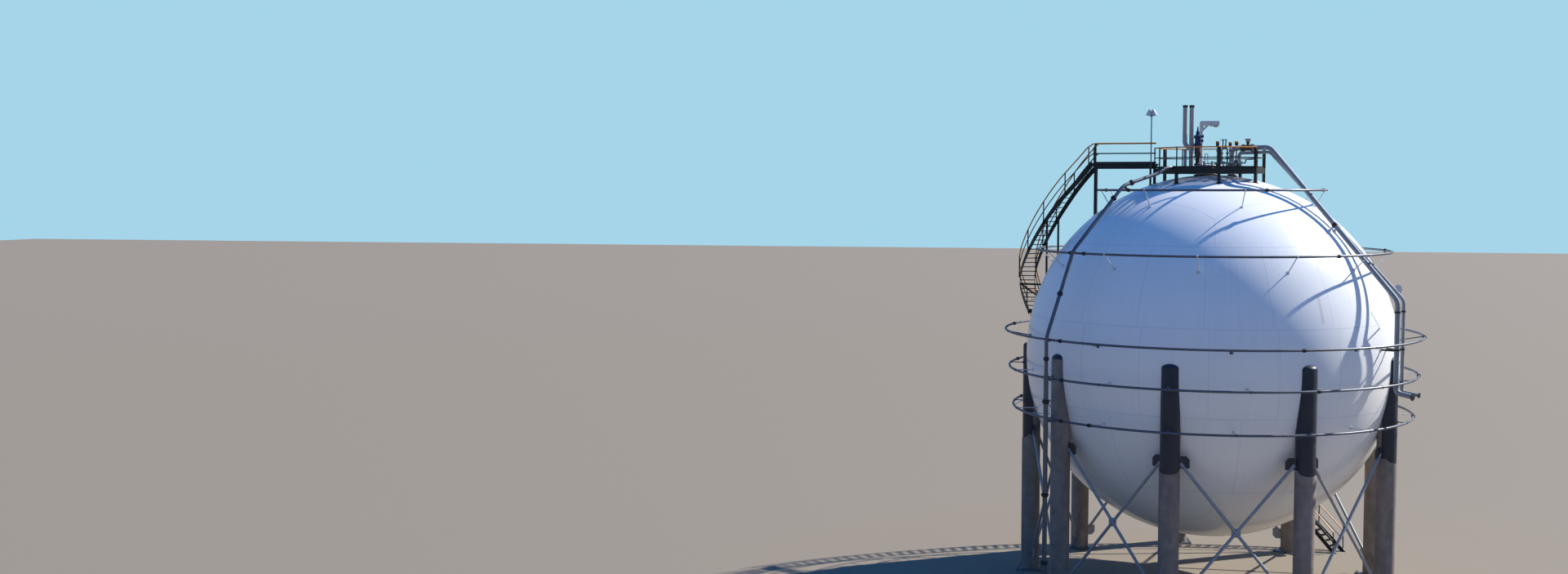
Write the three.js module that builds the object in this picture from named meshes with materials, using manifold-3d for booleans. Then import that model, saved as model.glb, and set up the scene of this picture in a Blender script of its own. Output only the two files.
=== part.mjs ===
// A spherical gas tank: a white welded sphere on nine legs, with spray rings, a top platform and a stair.
// Millimetres, +Z up. The viewer of the usual three-quarter view stands at -Y, and +X is to the right.
import * as THREE from "three";
import { mergeVertices } from "three/addons/utils/BufferGeometryUtils.js";
import Module from "manifold-3d";

const wasm = await Module();
wasm.setup();

// Sphere
const R = 9144;
const SHELL_THICKNESS = 40;
const EQUATOR_HEIGHT = 11600;
const AROUND = 36;
const FACET_TURN = -3.5;
const SEAM_LATITUDES = [-39, -13, 13, 39];
const CAP_STEPS = 6;
const BELT_STEPS = 3;
const EQUATOR_STEPS = 4;

// Gap left between pieces that touch
const GAP = 0.5;

// Legs and bracing
const LEG_COUNT = 9;
const LEG_CIRCLE = 0.976 * R;
const FIRST_LEG = -90.5;
const LEG_PITCH = 360 / LEG_COUNT;
const STUB_RADIUS = 450;
const COLUMN_RADIUS = 475;
const STUB_TOP = 470;
const DOME_RISE = 230;
const STUB_BOTTOM = -4650;
const BASE_PLATE = [1300, 60];
const LEG_SIDES = 14;
const BRACE_TOP = -4130;
const BRACE_BOTTOM = 960 - EQUATOR_HEIGHT;
const BRACE_RADIUS = 74;
const GUSSET = [640, 24, 560];

// Spray rings: radius and height from the centre, the struts' azimuths, and the latitude of their feet on
// the shell; the lower two rings have no feet there and stand off the legs
const SPRAY_RADIUS = 57;
const NINE_ROUND = Array.from({ length: 9 }, (_, k) => 40 * k);
const SPRAY_RINGS = [
  {
    radius: 0.61 * R,
    height: 0.917 * R,
    struts: [-163.5, -113.5, -73.5, -33.5, 16.5, 76.5, 116.5, 156.5],
    feet: 56,
  },
  {
    radius: 0.948 * R,
    height: 0.586 * R,
    struts: [-153.5, -123.5, -93.5, -63.5, -33.5, -3.5, 26.5, 56.5, 86.5, 116.5, 146.5, 176.5],
    feet: 30.333,
  },
  { radius: 1.118 * R, height: 0.136 * R, struts: NINE_ROUND.map((a) => a + 6.5), feet: 6.5 },
  { radius: 1.095 * R, height: -0.071 * R, struts: NINE_ROUND.map((a) => a + FIRST_LEG) },
  { radius: 1.072 * R, height: -0.29 * R, struts: NINE_ROUND.map((a) => a + FIRST_LEG) },
];
const STRUT_RADIUS = 26;
const PAD = [170, 14];
const RISER_AZIMUTH = -45.2;
const RISER_RADIUS = 90;
const RISER_LOWER = { radius: 115, top: -440 };

// Top platform and walkway
const DECK_HEIGHT = 1.036 * R;
const DECK_CIRCUMRADIUS = 0.304 * R;
const DECK_TURN = 10;
const DECK_CENTRE_X = -0.01 * R;
const BEAM = [100, 256];
const DECK_THICKNESS = 32;
const DECK_POST = 130;
const RAIL_HEIGHT = 1070;
const MID_RAIL = 530;
const RAIL_BAR = 48;
const RAIL_POST = 60;
const RAIL_STAND = 16;
const WALKWAY_BEAM = [60, 260];
const WALKWAY_HEIGHT = DECK_HEIGHT + WALKWAY_BEAM[1] + GAP;
const WALKWAY_WIDTH = 800;
const WALKWAY_LAP = 150;
const WALKWAY_END = -0.637 * R;
const WALKWAY_NEAR_POSTS = -0.3265 * R;

// Stair: plan points of the upper flight's centre line, then a helix round the sphere
const STAIR_WIDTH = 800;
const STRINGER = [24, 260];
const STRINGER_DROP = 90;
const TREAD = [250, 36];
const RISE = 250;
const STRINGER_STEPS = 6;
const HELIX_RADIUS = 1.185 * R;
const HALF_LANDING = 0.19 * R;
const QUARTER_LANDING = -0.46 * R;
const UPPER_PLAN = [
  [-0.637, 0], [-0.79, 0.06], [-0.935, 0.185], [-1.03, 0.335], [-1.0524, 0.4252], [-1.04, 0.5207], [-1.02, 0.589],
];
const UPPER_SUPPORT_STEP = 11;
const UPPER_BRACKET_STEP = 25;
const UPPER_BRACKET = [90, 100];
const HALF_LANDING_AZIMUTHS = [-120, -124.6];
const HALF_LANDING_KNEE = 1.105 * R;
const QUARTER_LANDING_AZIMUTHS = [-167, -174];
const STAIR_FOOT_AZIMUTH = -221;
const BRACKET = [110, 200];

// Crown fittings, each at [x, y] over the sphere's centre
const COVER_TOP = DECK_HEIGHT + 170;
const NECK = { at: [-0.028 * R, -0.02 * R], radius: 500, flange: 560 };
const NOZZLE = { at: [0.11 * R, -0.03 * R], radius: 190, flange: 300 };
const VENTS = [
  { name: "vent_pipe_left", at: [-0.143 * R, 0.03 * R], top: 1.389 * R, jog: 70 },
  { name: "vent_pipe_right", at: [-0.107 * R, 0], top: 1.387 * R, jog: 0 },
];
const VENT_RADIUS = 108;
const RELIEF_AT = [-0.073 * R, -0.035 * R];
const DAVIT_AT = [-0.055 * R, 0.08 * R];
const MAST_AT = [-0.3227 * R, -470];
const MAST_TOP = 1.35 * R;

// Process pipes on the right, in the radial plane of their azimuth: bend at the crown, then the vertical drop
const PROCESS_PIPES = [
  { name: "process_pipe_large", azimuth: 59.5, radius: 122, crown: [0.356, 1.147], drop: 1.078, end: -0.115 },
  { name: "process_pipe_small", azimuth: 63.4, radius: 84, crown: [0.345, 1.122], drop: 1.078, end: -0.115 },
];

const PIPE_ARM_HEIGHT = 0.14 * R - 330;
const ELBOW_PLATE = { azimuth: 60.1, from: 0.93 * R, to: 1.078 * R + 150, heights: [0.3 * R, 0.39 * R] };

// Solid from a geometry, turned outwards where its faces point in
function solid(geometry) {
  const bare = new THREE.BufferGeometry();
  const loose = geometry.index ? geometry.toNonIndexed() : geometry;
  bare.setAttribute("position", loose.getAttribute("position"));
  const merged = mergeVertices(bare, 1e-3);
  const source = merged.index.array;
  const kept = [];
  for (let i = 0; i < source.length; i += 3) {
    const [a, b, c] = [source[i], source[i + 1], source[i + 2]];
    if (a !== b && b !== c && a !== c) kept.push(a, b, c);
  }
  const vertProperties = new Float32Array(merged.attributes.position.array);
  const build = (triVerts) => new wasm.Manifold(new wasm.Mesh({ numProp: 3, vertProperties, triVerts }));
  const made = build(new Uint32Array(kept));
  if (made.volume() > 0) return made;
  for (let i = 0; i < kept.length; i += 3) [kept[i + 1], kept[i + 2]] = [kept[i + 2], kept[i + 1]];
  return build(new Uint32Array(kept));
}

function geometryOf(made) {
  const mesh = made.getMesh();
  const position = new Float32Array(mesh.numVert * 3);
  for (let i = 0; i < mesh.numVert; i++) {
    position.set(mesh.vertProperties.subarray(i * mesh.numProp, i * mesh.numProp + 3), i * 3);
  }
  const geometry = new THREE.BufferGeometry();
  geometry.setAttribute("position", new THREE.BufferAttribute(position, 3));
  geometry.setIndex(new THREE.BufferAttribute(mesh.triVerts, 1));
  const flat = geometry.toNonIndexed();
  flat.computeVertexNormals();
  return flat;
}

function join(pieces) {
  return pieces.reduce((a, b) => a.add(b));
}

// Point from azimuth (0 towards the viewer, positive to the right), radius and height over the centre
function polar(azimuth, radius, height) {
  const a = THREE.MathUtils.degToRad(azimuth);
  return new THREE.Vector3(radius * Math.sin(a), -radius * Math.cos(a), height);
}

function point(x, y, z) {
  return new THREE.Vector3(x, y, z);
}

// Turned body about the vertical axis from a closed [radius, height] profile
function turned(profile, sides = LEG_SIDES) {
  const geometry = new THREE.LatheGeometry(profile.map(([r, h]) => new THREE.Vector2(r, h)), sides);
  return solid(geometry.rotateX(Math.PI / 2));
}

// Upright cylinder at a plan point
function drum(at, radius, bottom, top, sides = LEG_SIDES) {
  const made = turned([[0, bottom], [radius, bottom], [radius, top], [0, top]], sides);
  return made.translate([at.x, at.y, 0]);
}

// Round rod between two points
function rod(a, b, radius, sides = 6) {
  const along = b.clone().sub(a);
  const geometry = new THREE.CylinderGeometry(radius, radius, along.length(), sides);
  const turn = new THREE.Quaternion().setFromUnitVectors(point(0, 1, 0), along.clone().normalize());
  geometry.applyQuaternion(turn).translate(...a.clone().add(b).multiplyScalar(0.5));
  return solid(geometry);
}

// Box centred on a point, its length along a plan heading
function block(centre, length, width, height, heading = point(1, 0, 0)) {
  const geometry = new THREE.BoxGeometry(length, width, height);
  geometry.rotateZ(Math.atan2(heading.y, heading.x)).translate(...centre);
  return solid(geometry);
}

// Body swept through frames: each frame is a centre with a section's two axes; closed by flat ends
function swept(frames, section) {
  const n = section.length;
  const corners = frames.map(({ at, u, v }) =>
    section.map(([a, b]) => at.clone().addScaledVector(u, a).addScaledVector(v, b)));
  const faces = [];
  for (let i = 0; i + 1 < frames.length; i++) {
    for (let k = 0; k < n; k++) {
      const next = (k + 1) % n;
      faces.push(corners[i][k], corners[i][next], corners[i + 1][next]);
      faces.push(corners[i][k], corners[i + 1][next], corners[i + 1][k]);
    }
  }
  const last = corners[corners.length - 1];
  for (let k = 1; k + 1 < n; k++) {
    faces.push(corners[0][0], corners[0][k + 1], corners[0][k]);
    faces.push(last[0], last[k], last[k + 1]);
  }
  return solid(new THREE.BufferGeometry().setFromPoints(faces));
}

// Flat strip standing on edge along a path, such as a stringer or a beam
function strip(path, thickness, height) {
  const up = point(0, 0, 1);
  const frames = path.map((at, i) => {
    const before = path[Math.max(i - 1, 0)];
    const after = path[Math.min(i + 1, path.length - 1)];
    const heading = after.clone().sub(before).setZ(0).normalize();
    return { at, u: point(heading.y, -heading.x, 0), v: up };
  });
  const [w, h] = [thickness / 2, height / 2];
  return swept(frames, [[-w, -h], [w, -h], [w, h], [-w, h]]);
}

// Round pipe through points, mitred at each
function pipe(path, radius, sides = 8) {
  const section = [];
  for (let k = 0; k < sides; k++) {
    const a = (2 * Math.PI * k) / sides;
    section.push([radius * Math.cos(a), radius * Math.sin(a)]);
  }
  const steps = path.slice(1).map((p, i) => p.clone().sub(path[i]).normalize());
  let side = Math.abs(steps[0].z) > 0.9 ? point(1, 0, 0) : point(0, 0, 1);
  const frames = path.map((at, i) => {
    const into = steps[Math.max(i - 1, 0)];
    const out = steps[Math.min(i, steps.length - 1)];
    const tangent = into.clone().add(out).normalize();
    const v = new THREE.Vector3().crossVectors(tangent, side).normalize();
    const u = new THREE.Vector3().crossVectors(v, tangent).normalize();
    side = u.clone();
    return { at, u, v };
  });
  return swept(frames, section);
}

// Path with each corner replaced by a bend
function bent(path, bend, steps = 4) {
  const out = [path[0]];
  for (let i = 1; i + 1 < path.length; i++) {
    const a = path[i].clone().add(path[i - 1].clone().sub(path[i]).setLength(bend));
    const b = path[i].clone().add(path[i + 1].clone().sub(path[i]).setLength(bend));
    const curve = new THREE.QuadraticBezierCurve3(a, path[i], b);
    out.push(...curve.getPoints(steps));
  }
  out.push(path[path.length - 1]);
  return out;
}

// Evenly spaced values, both ends included
function spread(from, to, count) {
  return Array.from({ length: count + 1 }, (_, i) => from + ((to - from) * i) / count);
}

const root = new THREE.Group();
root.name = "spherical_gas_tank";

function add(name, made, colour, metalness = 0.2, roughness = 0.5) {
  const material = new THREE.MeshStandardMaterial({ color: colour, metalness, roughness });
  material.name = name + "_surface";
  const mesh = new THREE.Mesh(geometryOf(made), material);
  mesh.name = name;
  root.add(mesh);
}

const WHITE = 0xf2f4f5;
const CONCRETE = 0x9a958c;
const BLACK_STEEL = 0x20262a;
const YELLOW = 0xc98a1c;
const GALVANISED = 0x8d949a;
const CLADDING = 0xa9adb0;
const BLUE = 0x1d3a5c;
const GREY = 0x7d8488;

// Shell courses, bottom to top
function arc(radius, angles) {
  return angles.map((angle) => {
    const a = THREE.MathUtils.degToRad(angle);
    return [Math.abs(angle) === 90 ? 0 : radius * Math.cos(a), radius * Math.sin(a)];
  });
}

const [S1, S2, S3, S4] = SEAM_LATITUDES;
const courses = [
  ["shell_bottom_cap", spread(-90, S1, CAP_STEPS)],
  ["shell_lower_belt", spread(S1, S2, BELT_STEPS)],
  ["shell_equator_belt", spread(S2, S3, EQUATOR_STEPS)],
  ["shell_upper_belt", spread(S3, S4, BELT_STEPS)],
  ["shell_top_cap", spread(S4, 90, CAP_STEPS)],
];
const fullArc = [...courses.flatMap(([, angles]) => angles.slice(0, -1)), 90];
const hollow = turned(arc(R - SHELL_THICKNESS, spread(-90, 90, 12)), AROUND / 2);
const shell = turned(arc(R, fullArc), AROUND).subtract(hollow).rotate([0, 0, FACET_TURN]);
const seamHeight = (angle) => (Math.abs(angle) === 90 ? 2 : 1) * R * Math.sin(THREE.MathUtils.degToRad(angle));
for (const [name, angles] of courses) {
  const low = seamHeight(angles[0]) + GAP;
  const high = seamHeight(angles[angles.length - 1]);
  const made = shell.trimByPlane([0, 0, 1], low).trimByPlane([0, 0, -1], -high);
  add(name, made, WHITE, 0.1, 0.35);
}

// Solid ball with the shell's facets, used to seat what stands on the shell
const ball = turned(arc(R + GAP, fullArc), AROUND).rotate([0, 0, FACET_TURN]);

// Legs: a domed steel stub welded to the sphere over a fireproofed column on a base plate
function legBody(azimuth, extra) {
  const dome = [0, 18, 36, 54, 72].map((angle) => {
    const a = THREE.MathUtils.degToRad(angle);
    return [(STUB_RADIUS + extra) * Math.cos(a), STUB_TOP - DOME_RISE + DOME_RISE * Math.sin(a)];
  });
  const profile = [
    [0, -EQUATOR_HEIGHT],
    [COLUMN_RADIUS + extra, -EQUATOR_HEIGHT],
    [COLUMN_RADIUS + extra, STUB_BOTTOM],
    [STUB_RADIUS + extra, STUB_BOTTOM],
    ...dome,
    [0, STUB_TOP],
  ];
  const at = polar(azimuth, LEG_CIRCLE, 0);
  return turned(profile).rotate([0, 0, azimuth]).translate([at.x, at.y, 0]);
}

const legAt = polar(FIRST_LEG, LEG_CIRCLE, 0);
const [plateSize, plateThickness] = BASE_PLATE;
const plateCentre = legAt.clone().setZ(plateThickness / 2 - EQUATOR_HEIGHT);
const basePlate = block(plateCentre, plateSize, plateSize, plateThickness, legAt);
const leg = join([legBody(FIRST_LEG, 0), basePlate]).subtract(ball);

// Bracing: crossed rods between neighbouring legs, on gusset plates
const nextLegAt = polar(FIRST_LEG + LEG_PITCH, LEG_CIRCLE, 0);
const braceHeading = nextLegAt.clone().sub(legAt).normalize();
const braceSpan = legAt.distanceTo(nextLegAt) - 2 * STUB_RADIUS;
const braceSlope = (BRACE_TOP - BRACE_BOTTOM) / braceSpan;

// Point on a brace rod, measured along the bay from a leg's face; way is 1 from the first leg, -1 from the next
function onRod(way, along, height, fall) {
  const from = way > 0 ? legAt : nextLegAt;
  const out = from.clone().addScaledVector(braceHeading, way * (STUB_RADIUS + along));
  return out.setZ(height - fall * braceSlope * along);
}

const [gussetLength, gussetThickness, gussetHeight] = GUSSET;
const gussets = [1, -1].flatMap((way) => [
  onRod(way, gussetLength / 4, BRACE_TOP, 1),
  onRod(way, gussetLength / 4, BRACE_BOTTOM, -1),
]).map((centre) => block(centre, gussetLength, gussetThickness, gussetHeight, braceHeading));
const braceRods = [1, -1].map((way) => {
  const high = onRod(way, 0, BRACE_TOP, 1);
  const low = onRod(-way, 0, BRACE_BOTTOM, -1);
  const along = low.clone().sub(high).normalize();
  const across = new THREE.Vector3().crossVectors(braceHeading, point(0, 0, 1)).normalize();
  const third = new THREE.Vector3().crossVectors(along, across);
  const [a, b] = [BRACE_RADIUS, BRACE_RADIUS];
  return swept([high, low].map((at) => ({ at, u: across, v: third })), [[-a, -b], [a, -b], [a, b], [-a, b]]);
});
const braceMiddle = onRod(1, braceSpan / 2, BRACE_TOP, 1);
const crossing = block(braceMiddle, 420, gussetThickness, 420, braceHeading);
const brace = join([...braceRods, ...gussets, crossing])
  .subtract(legBody(FIRST_LEG, GAP))
  .subtract(legBody(FIRST_LEG + LEG_PITCH, GAP));

for (let i = 0; i < LEG_COUNT; i++) {
  add("leg_" + (i + 1), leg.rotate([0, 0, i * LEG_PITCH]), CONCRETE, 0.1, 0.8);
  add("brace_" + (i + 1), brace.rotate([0, 0, i * LEG_PITCH]), GALVANISED, 0.5, 0.5);
}

// Spray rings on stand-off struts with welded pads
const ringCutters = [];
SPRAY_RINGS.forEach(({ radius, height, struts, feet }, i) => {
  const torus = (extra) => solid(new THREE.TorusGeometry(radius, SPRAY_RADIUS + extra, 5, 48).translate(0, 0, height));
  ringCutters.push(torus(GAP));
  const pieces = [torus(0)];
  const [[footRadius, footHeight]] = feet ? arc(R + GAP, [feet]) : [[LEG_CIRCLE + STUB_RADIUS + GAP, height]];
  for (const azimuth of struts) {
    const end = polar(azimuth, radius, height);
    const foot = polar(azimuth, footRadius, footHeight);
    const out = feet ? foot.clone().normalize() : polar(azimuth, 1, 0);
    pieces.push(rod(end, foot.clone().addScaledVector(out, PAD[1] / 2), STRUT_RADIUS, 4));
    pieces.push(rod(foot, foot.clone().addScaledVector(out, PAD[1]), PAD[0] / 2, 4));
  }
  add("spray_ring_" + (i + 1), join(pieces), GALVANISED, 0.6, 0.45);
});

// Water riser from the ground to the crown, outside the rings, with a tee to each
const riserStand = 1.148 * R;
const riserLine = [
  [riserStand, 30 - EQUATOR_HEIGHT],
  [riserStand, 0.15 * R],
  [0.974 * R, 0.602 * R],
  [0.634 * R, 0.942 * R],
  [0.5 * R, 0.978 * R],
  [0.375 * R, 1.012 * R],
  [0.335 * R, 1.056 * R],
  [0.2 * R, 1.056 * R],
].map(([radius, height]) => polar(RISER_AZIMUTH, radius, height));
const tees = SPRAY_RINGS.map(({ radius, height }, i) => {
  const inner = polar(RISER_AZIMUTH, radius, height);
  const outer = i < 2 ? inner.clone().setLength(inner.length() + 190) : polar(RISER_AZIMUTH, riserStand, height);
  return rod(inner, outer, 70, 6);
});
const riserOut = polar(RISER_AZIMUTH, 1, 0);
const riserFoot = block(polar(RISER_AZIMUTH, riserStand, 15 - EQUATOR_HEIGHT), 420, 420, 30, riserOut);
const riserLower = drum(riserLine[0], RISER_LOWER.radius, 20 - EQUATOR_HEIGHT, RISER_LOWER.top, 10);
const riserBody = join([pipe(bent(riserLine, 260, 2), RISER_RADIUS, 8), riserLower, ...tees, riserFoot]);
add("spray_riser", ringCutters.reduce((made, cutter) => made.subtract(cutter), riserBody), GALVANISED, 0.6, 0.45);

// Top platform: octagonal frame on posts, grating deck, guard rail
function octagon(radius, height = 0) {
  return Array.from({ length: 8 }, (_, k) =>
    polar(DECK_TURN + 45 * k, radius, height).add(point(DECK_CENTRE_X, 0, 0)));
}

function prism(corners, bottom, top, holes = []) {
  const shape = new THREE.Shape(corners.map((p) => new THREE.Vector2(p.x, p.y)));
  for (const hole of holes) shape.holes.push(new THREE.Path(hole.map((p) => new THREE.Vector2(p.x, p.y))));
  const geometry = new THREE.ExtrudeGeometry(shape, { depth: top - bottom, bevelEnabled: false });
  return solid(geometry.translate(0, 0, bottom));
}

function circle([x, y], radius, sides = 12) {
  return Array.from({ length: sides }, (_, k) => polar((360 * k) / sides, radius, 0).add(point(x, y, 0)));
}

// Height of the shell over a plan point
function crownAt(x, y) {
  return Math.sqrt(R * R - x * x - y * y);
}

// Square post standing on the shell with a foot plate
function shellPost(p, top, size) {
  const height = crownAt(p.x, p.y);
  const out = point(p.x, p.y, height).normalize();
  const post = block(point(p.x, p.y, (top + height - 60) / 2), size, size, top - height + 60);
  const foot = rod(out.clone().setLength(R - 40), out.clone().setLength(R + 20), size * 1.1, 4);
  return join([post, foot]);
}

const [beamWidth, beamDepth] = BEAM;
const innerRadius = DECK_CIRCUMRADIUS - beamWidth / Math.cos(Math.PI / 8);
const edge = prism(octagon(DECK_CIRCUMRADIUS), DECK_HEIGHT - beamDepth, DECK_HEIGHT, [octagon(innerRadius)]);
const joistTop = DECK_HEIGHT - DECK_THICKNESS - GAP;
const joists = [-1, 1].map((side) =>
  block(point(DECK_CENTRE_X, side * 1100, joistTop - 80), 2 * innerRadius, 80, 160));
const insideBeam = prism(octagon(innerRadius + beamWidth / 2), joistTop - 160, joistTop);
const posts = octagon(DECK_CIRCUMRADIUS - DECK_POST / 2).map((p) => shellPost(p, DECK_HEIGHT - 40, DECK_POST));
const platformFrame = join([edge, join(joists).intersect(insideBeam), ...posts]).subtract(ball);
add("platform_frame", platformFrame, BLACK_STEEL, 0.3, 0.5);

const deckHoles = [circle(NECK.at, NECK.flange + 22), circle(NOZZLE.at, NOZZLE.flange + 50)];
const deck = prism(octagon(innerRadius - 4), DECK_HEIGHT - DECK_THICKNESS, DECK_HEIGHT, deckHoles);
add("platform_deck", deck, BLACK_STEEL, 0.3, 0.6);

// Centre lines of the process pipes, from the crown to the flange at their lower end
const processPaths = PROCESS_PIPES.map(({ azimuth, crown, drop, end }, i) => {
  const [crownRadius, crownHeight] = crown;
  const start = i === 0
    ? [point(...NOZZLE.at, COVER_TOP + GAP + 20), point(...NOZZLE.at, crownHeight * R)]
    : [point(0.15 * R, 0.06 * R, DECK_HEIGHT + GAP + 20), point(0.15 * R, 0.06 * R, crownHeight * R)];
  return [
    ...start,
    polar(azimuth, crownRadius * R, crownHeight * R),
    polar(azimuth, drop * R, 0.355 * R),
    polar(azimuth, drop * R, end * R),
    polar(azimuth, 1.17 * R, end * R - 120),
  ];
});

// Guard rail along a path at walking level: top rail, mid rail and a post at each point
function guard(path, foot, widths = path.map(() => RAIL_POST)) {
  const end = path.length - 1;
  const raised = (by) => path.map((p) => p.clone().add(point(0, 0, by)));
  const pieces = [RAIL_HEIGHT, MID_RAIL].map((by) => strip(raised(by), RAIL_BAR, RAIL_BAR));
  path.forEach((p, i) => {
    const before = path[Math.max(i - 1, 0)];
    const heading = path[Math.min(i + 1, end)].clone().sub(before).setZ(0);
    const middle = p.clone().add(point(0, 0, (foot + RAIL_HEIGHT) / 2));
    pieces.push(block(middle, widths[i], widths[i], RAIL_HEIGHT - foot, heading));
  });
  return join(pieces);
}

// The rail runs round from one side of the walkway's gate to the other
const corners = octagon(DECK_CIRCUMRADIUS - DECK_POST / 2, DECK_HEIGHT);
const gateFront = corners[6];
const gateBack = corners[6].clone().lerp(corners[5], 0.48);
const nearGate = corners[6].clone().lerp(corners[7], 0.22);
const railLine = [gateBack, ...[5, 4, 3, 2, 1, 0, 7].map((k) => corners[k]), nearGate, gateFront];
const stout = [1, 4, 5, 6];
const railPosts = railLine.map((_, i) => (stout.includes(i) ? DECK_POST : RAIL_POST));
const largeRadius = PROCESS_PIPES[0].radius;
const pipeWay = pipe(bent(processPaths[0].slice(0, 4), 2 * largeRadius, 2), largeRadius + 40, 8);
add("platform_rail", guard(railLine, GAP, railPosts).subtract(pipeWay), YELLOW, 0.3, 0.5);

// Walkway from the platform to the head of the stair: its near end lies on the platform's edge beam and is
// cut parallel to it, its far end stands on the shell
const [edgeFrom, edgeTo] = [octagon(DECK_CIRCUMRADIUS)[6], octagon(DECK_CIRCUMRADIUS)[5]];
const edgeNormal = point(edgeFrom.y - edgeTo.y, edgeTo.x - edgeFrom.x, 0).normalize();
const walkwayStart = (y) => {
  const share = (y - edgeFrom.y) / (edgeTo.y - edgeFrom.y);
  return edgeFrom.clone().lerp(edgeTo, share).x + WALKWAY_LAP;
};
const [walkBeam, walkDepth] = WALKWAY_BEAM;
const walkSide = WALKWAY_WIDTH / 2;
const walkLength = walkwayStart(walkSide) - WALKWAY_END;
const walkMiddle = WALKWAY_END + walkLength / 2;
const walkBeams = [-1, 1].map((side) =>
  block(point(walkMiddle, side * walkSide, WALKWAY_HEIGHT - walkDepth / 2), walkLength, walkBeam, walkDepth));
const walkDeck = block(point(walkMiddle, 0, WALKWAY_HEIGHT - 40), walkLength, WALKWAY_WIDTH, 36);
const walkPosts = [-1, 1].map((side) =>
  shellPost(point(WALKWAY_END + 95, side * (walkSide - 40), 0), WALKWAY_HEIGHT - 60, DECK_POST));
const nearPosts = [-1, 1].map((side) =>
  shellPost(point(WALKWAY_NEAR_POSTS, side * (walkSide - 40), 0), WALKWAY_HEIGHT - 60, 80));
const walkway = join([...walkBeams, walkDeck, ...walkPosts, ...nearPosts])
  .subtract(ball)
  .trimByPlane([...edgeNormal], edgeFrom.dot(edgeNormal) - WALKWAY_LAP);
add("walkway", walkway, BLACK_STEEL, 0.3, 0.5);

for (const [name, side] of [["front", -1], ["back", 1]]) {
  const from = walkwayStart(side * walkSide) - 60;
  const path = spread(from, WALKWAY_END + 60, 1).map((x) => point(x, side * walkSide, WALKWAY_HEIGHT));
  add("walkway_rail_" + name, guard(path, GAP), YELLOW, 0.3, 0.5);
}

// Stair flights: two stringers and level treads along a curved plan line at walking level
function offsetPath(path, by) {
  return path.map((p, i) => {
    const before = path[Math.max(i - 1, 0)];
    const after = path[Math.min(i + 1, path.length - 1)];
    const heading = after.clone().sub(before).setZ(0).normalize();
    return p.clone().add(point(heading.y, -heading.x, 0).multiplyScalar(by));
  });
}

function coarse(path) {
  return path.filter((_, i) => i % STRINGER_STEPS === 0 || i === path.length - 1).map((p) => p.clone());
}

function flight(path) {
  const [thickness, height] = STRINGER;
  const line = coarse(path);
  line.unshift(line[0].clone().multiplyScalar(1.2).addScaledVector(line[1], -0.2));
  line.push(line[line.length - 1].clone().multiplyScalar(1.2).addScaledVector(line[line.length - 2], -0.2));
  const lowered = line.map((p) => p.clone().add(point(0, 0, -STRINGER_DROP)));
  const pieces = [-1, 1].map((side) => strip(offsetPath(lowered, (side * STAIR_WIDTH) / 2), thickness, height));
  for (let i = 1; i + 1 < path.length; i++) {
    const heading = path[i + 1].clone().sub(path[i - 1]).setZ(0).normalize();
    const centre = path[i].clone().add(point(0, 0, -TREAD[1] / 2));
    pieces.push(block(centre, TREAD[0], STAIR_WIDTH, TREAD[1], heading));
  }
  return join(pieces);
}

const railOffset = STAIR_WIDTH / 2 + STRINGER[0] / 2 + RAIL_POST / 2 + RAIL_STAND;

function stairRail(path, side) {
  return guard(offsetPath(path, side * railOffset), -100);
}

// Lugs on both stringers, one to each post of the stair's rails
function railLugs(path, skip = 0) {
  const width = RAIL_STAND + 8 - GAP;
  return [-1, 1].flatMap((side) => {
    const line = offsetPath(path, side * railOffset);
    return line.map((p, i) => {
      const heading = line[Math.min(i + 1, line.length - 1)].clone().sub(line[Math.max(i - 1, 0)]);
      heading.setZ(0).normalize();
      const outward = point(heading.y, -heading.x, 0).multiplyScalar(side);
      const centre = p.clone().addScaledVector(outward, -RAIL_POST / 2 - GAP - width / 2);
      return block(centre.add(point(0, 0, -STRINGER_DROP)), RAIL_POST, width, 120, heading);
    }).slice(skip);
  });
}

// Line whose ends are drawn in by a share of their first and last step
function drawnIn(path, first, last) {
  const end = path.length - 1;
  const out = path.map((p) => p.clone());
  out[0].lerp(path[1], first);
  out[end].lerp(path[end - 1], last);
  return out;
}

// Half of space on one side of the upright plane through the axis at an azimuth
function trimmedAt(made, azimuth, keep) {
  const along = polar(azimuth + 90, keep, 0);
  return made.trimByPlane([along.x, along.y, 0], GAP);
}

function helix(azimuths, heights) {
  return azimuths.map((azimuth, i) => polar(azimuth, HELIX_RADIUS, heights[i]));
}

// Radial beam from its tip in to the reach, with a knee brace from a radius under it
function bracket(azimuth, tip, reach, top, [width, depth], kneeRadius) {
  const centre = polar(azimuth, (tip + reach) / 2, top - depth / 2);
  const beam = block(centre, tip - reach, width, depth, polar(azimuth, 1, 0));
  const knee = rod(
    polar(azimuth, kneeRadius, top - 0.65 * depth),
    polar(azimuth, reach + 60, top - 1300),
    width / 2,
    4,
  );
  return [beam, knee];
}

// Landing: a deck on edge beams, held by two radial brackets
function landing([from, to], height, seat, reach, kneeRadius) {
  const half = STAIR_WIDTH / 2 + STRINGER[0] / 2;
  const azimuths = spread(from, to, 3);
  const rim = (radius) => azimuths.map((azimuth) => polar(azimuth, radius, 0));
  const outline = [...rim(HELIX_RADIUS - half), ...rim(HELIX_RADIUS + half).reverse()];
  const plate = prism(outline, height - 40, height);
  const curb = prism(outline, height - 220, height - 30, [
    [...rim(HELIX_RADIUS - half + 60), ...rim(HELIX_RADIUS + half - 60).reverse()]
      .map((p) => p.clone().lerp(polar((from + to) / 2, HELIX_RADIUS, 0), 0.12)),
  ]);
  const brackets = [0.25, 0.75].flatMap((share) =>
    bracket(from + (to - from) * share, HELIX_RADIUS + half - 80, reach, height - 199, BRACKET, kneeRadius));
  return join([plate, curb, ...brackets]).subtract(seat);
}

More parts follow.
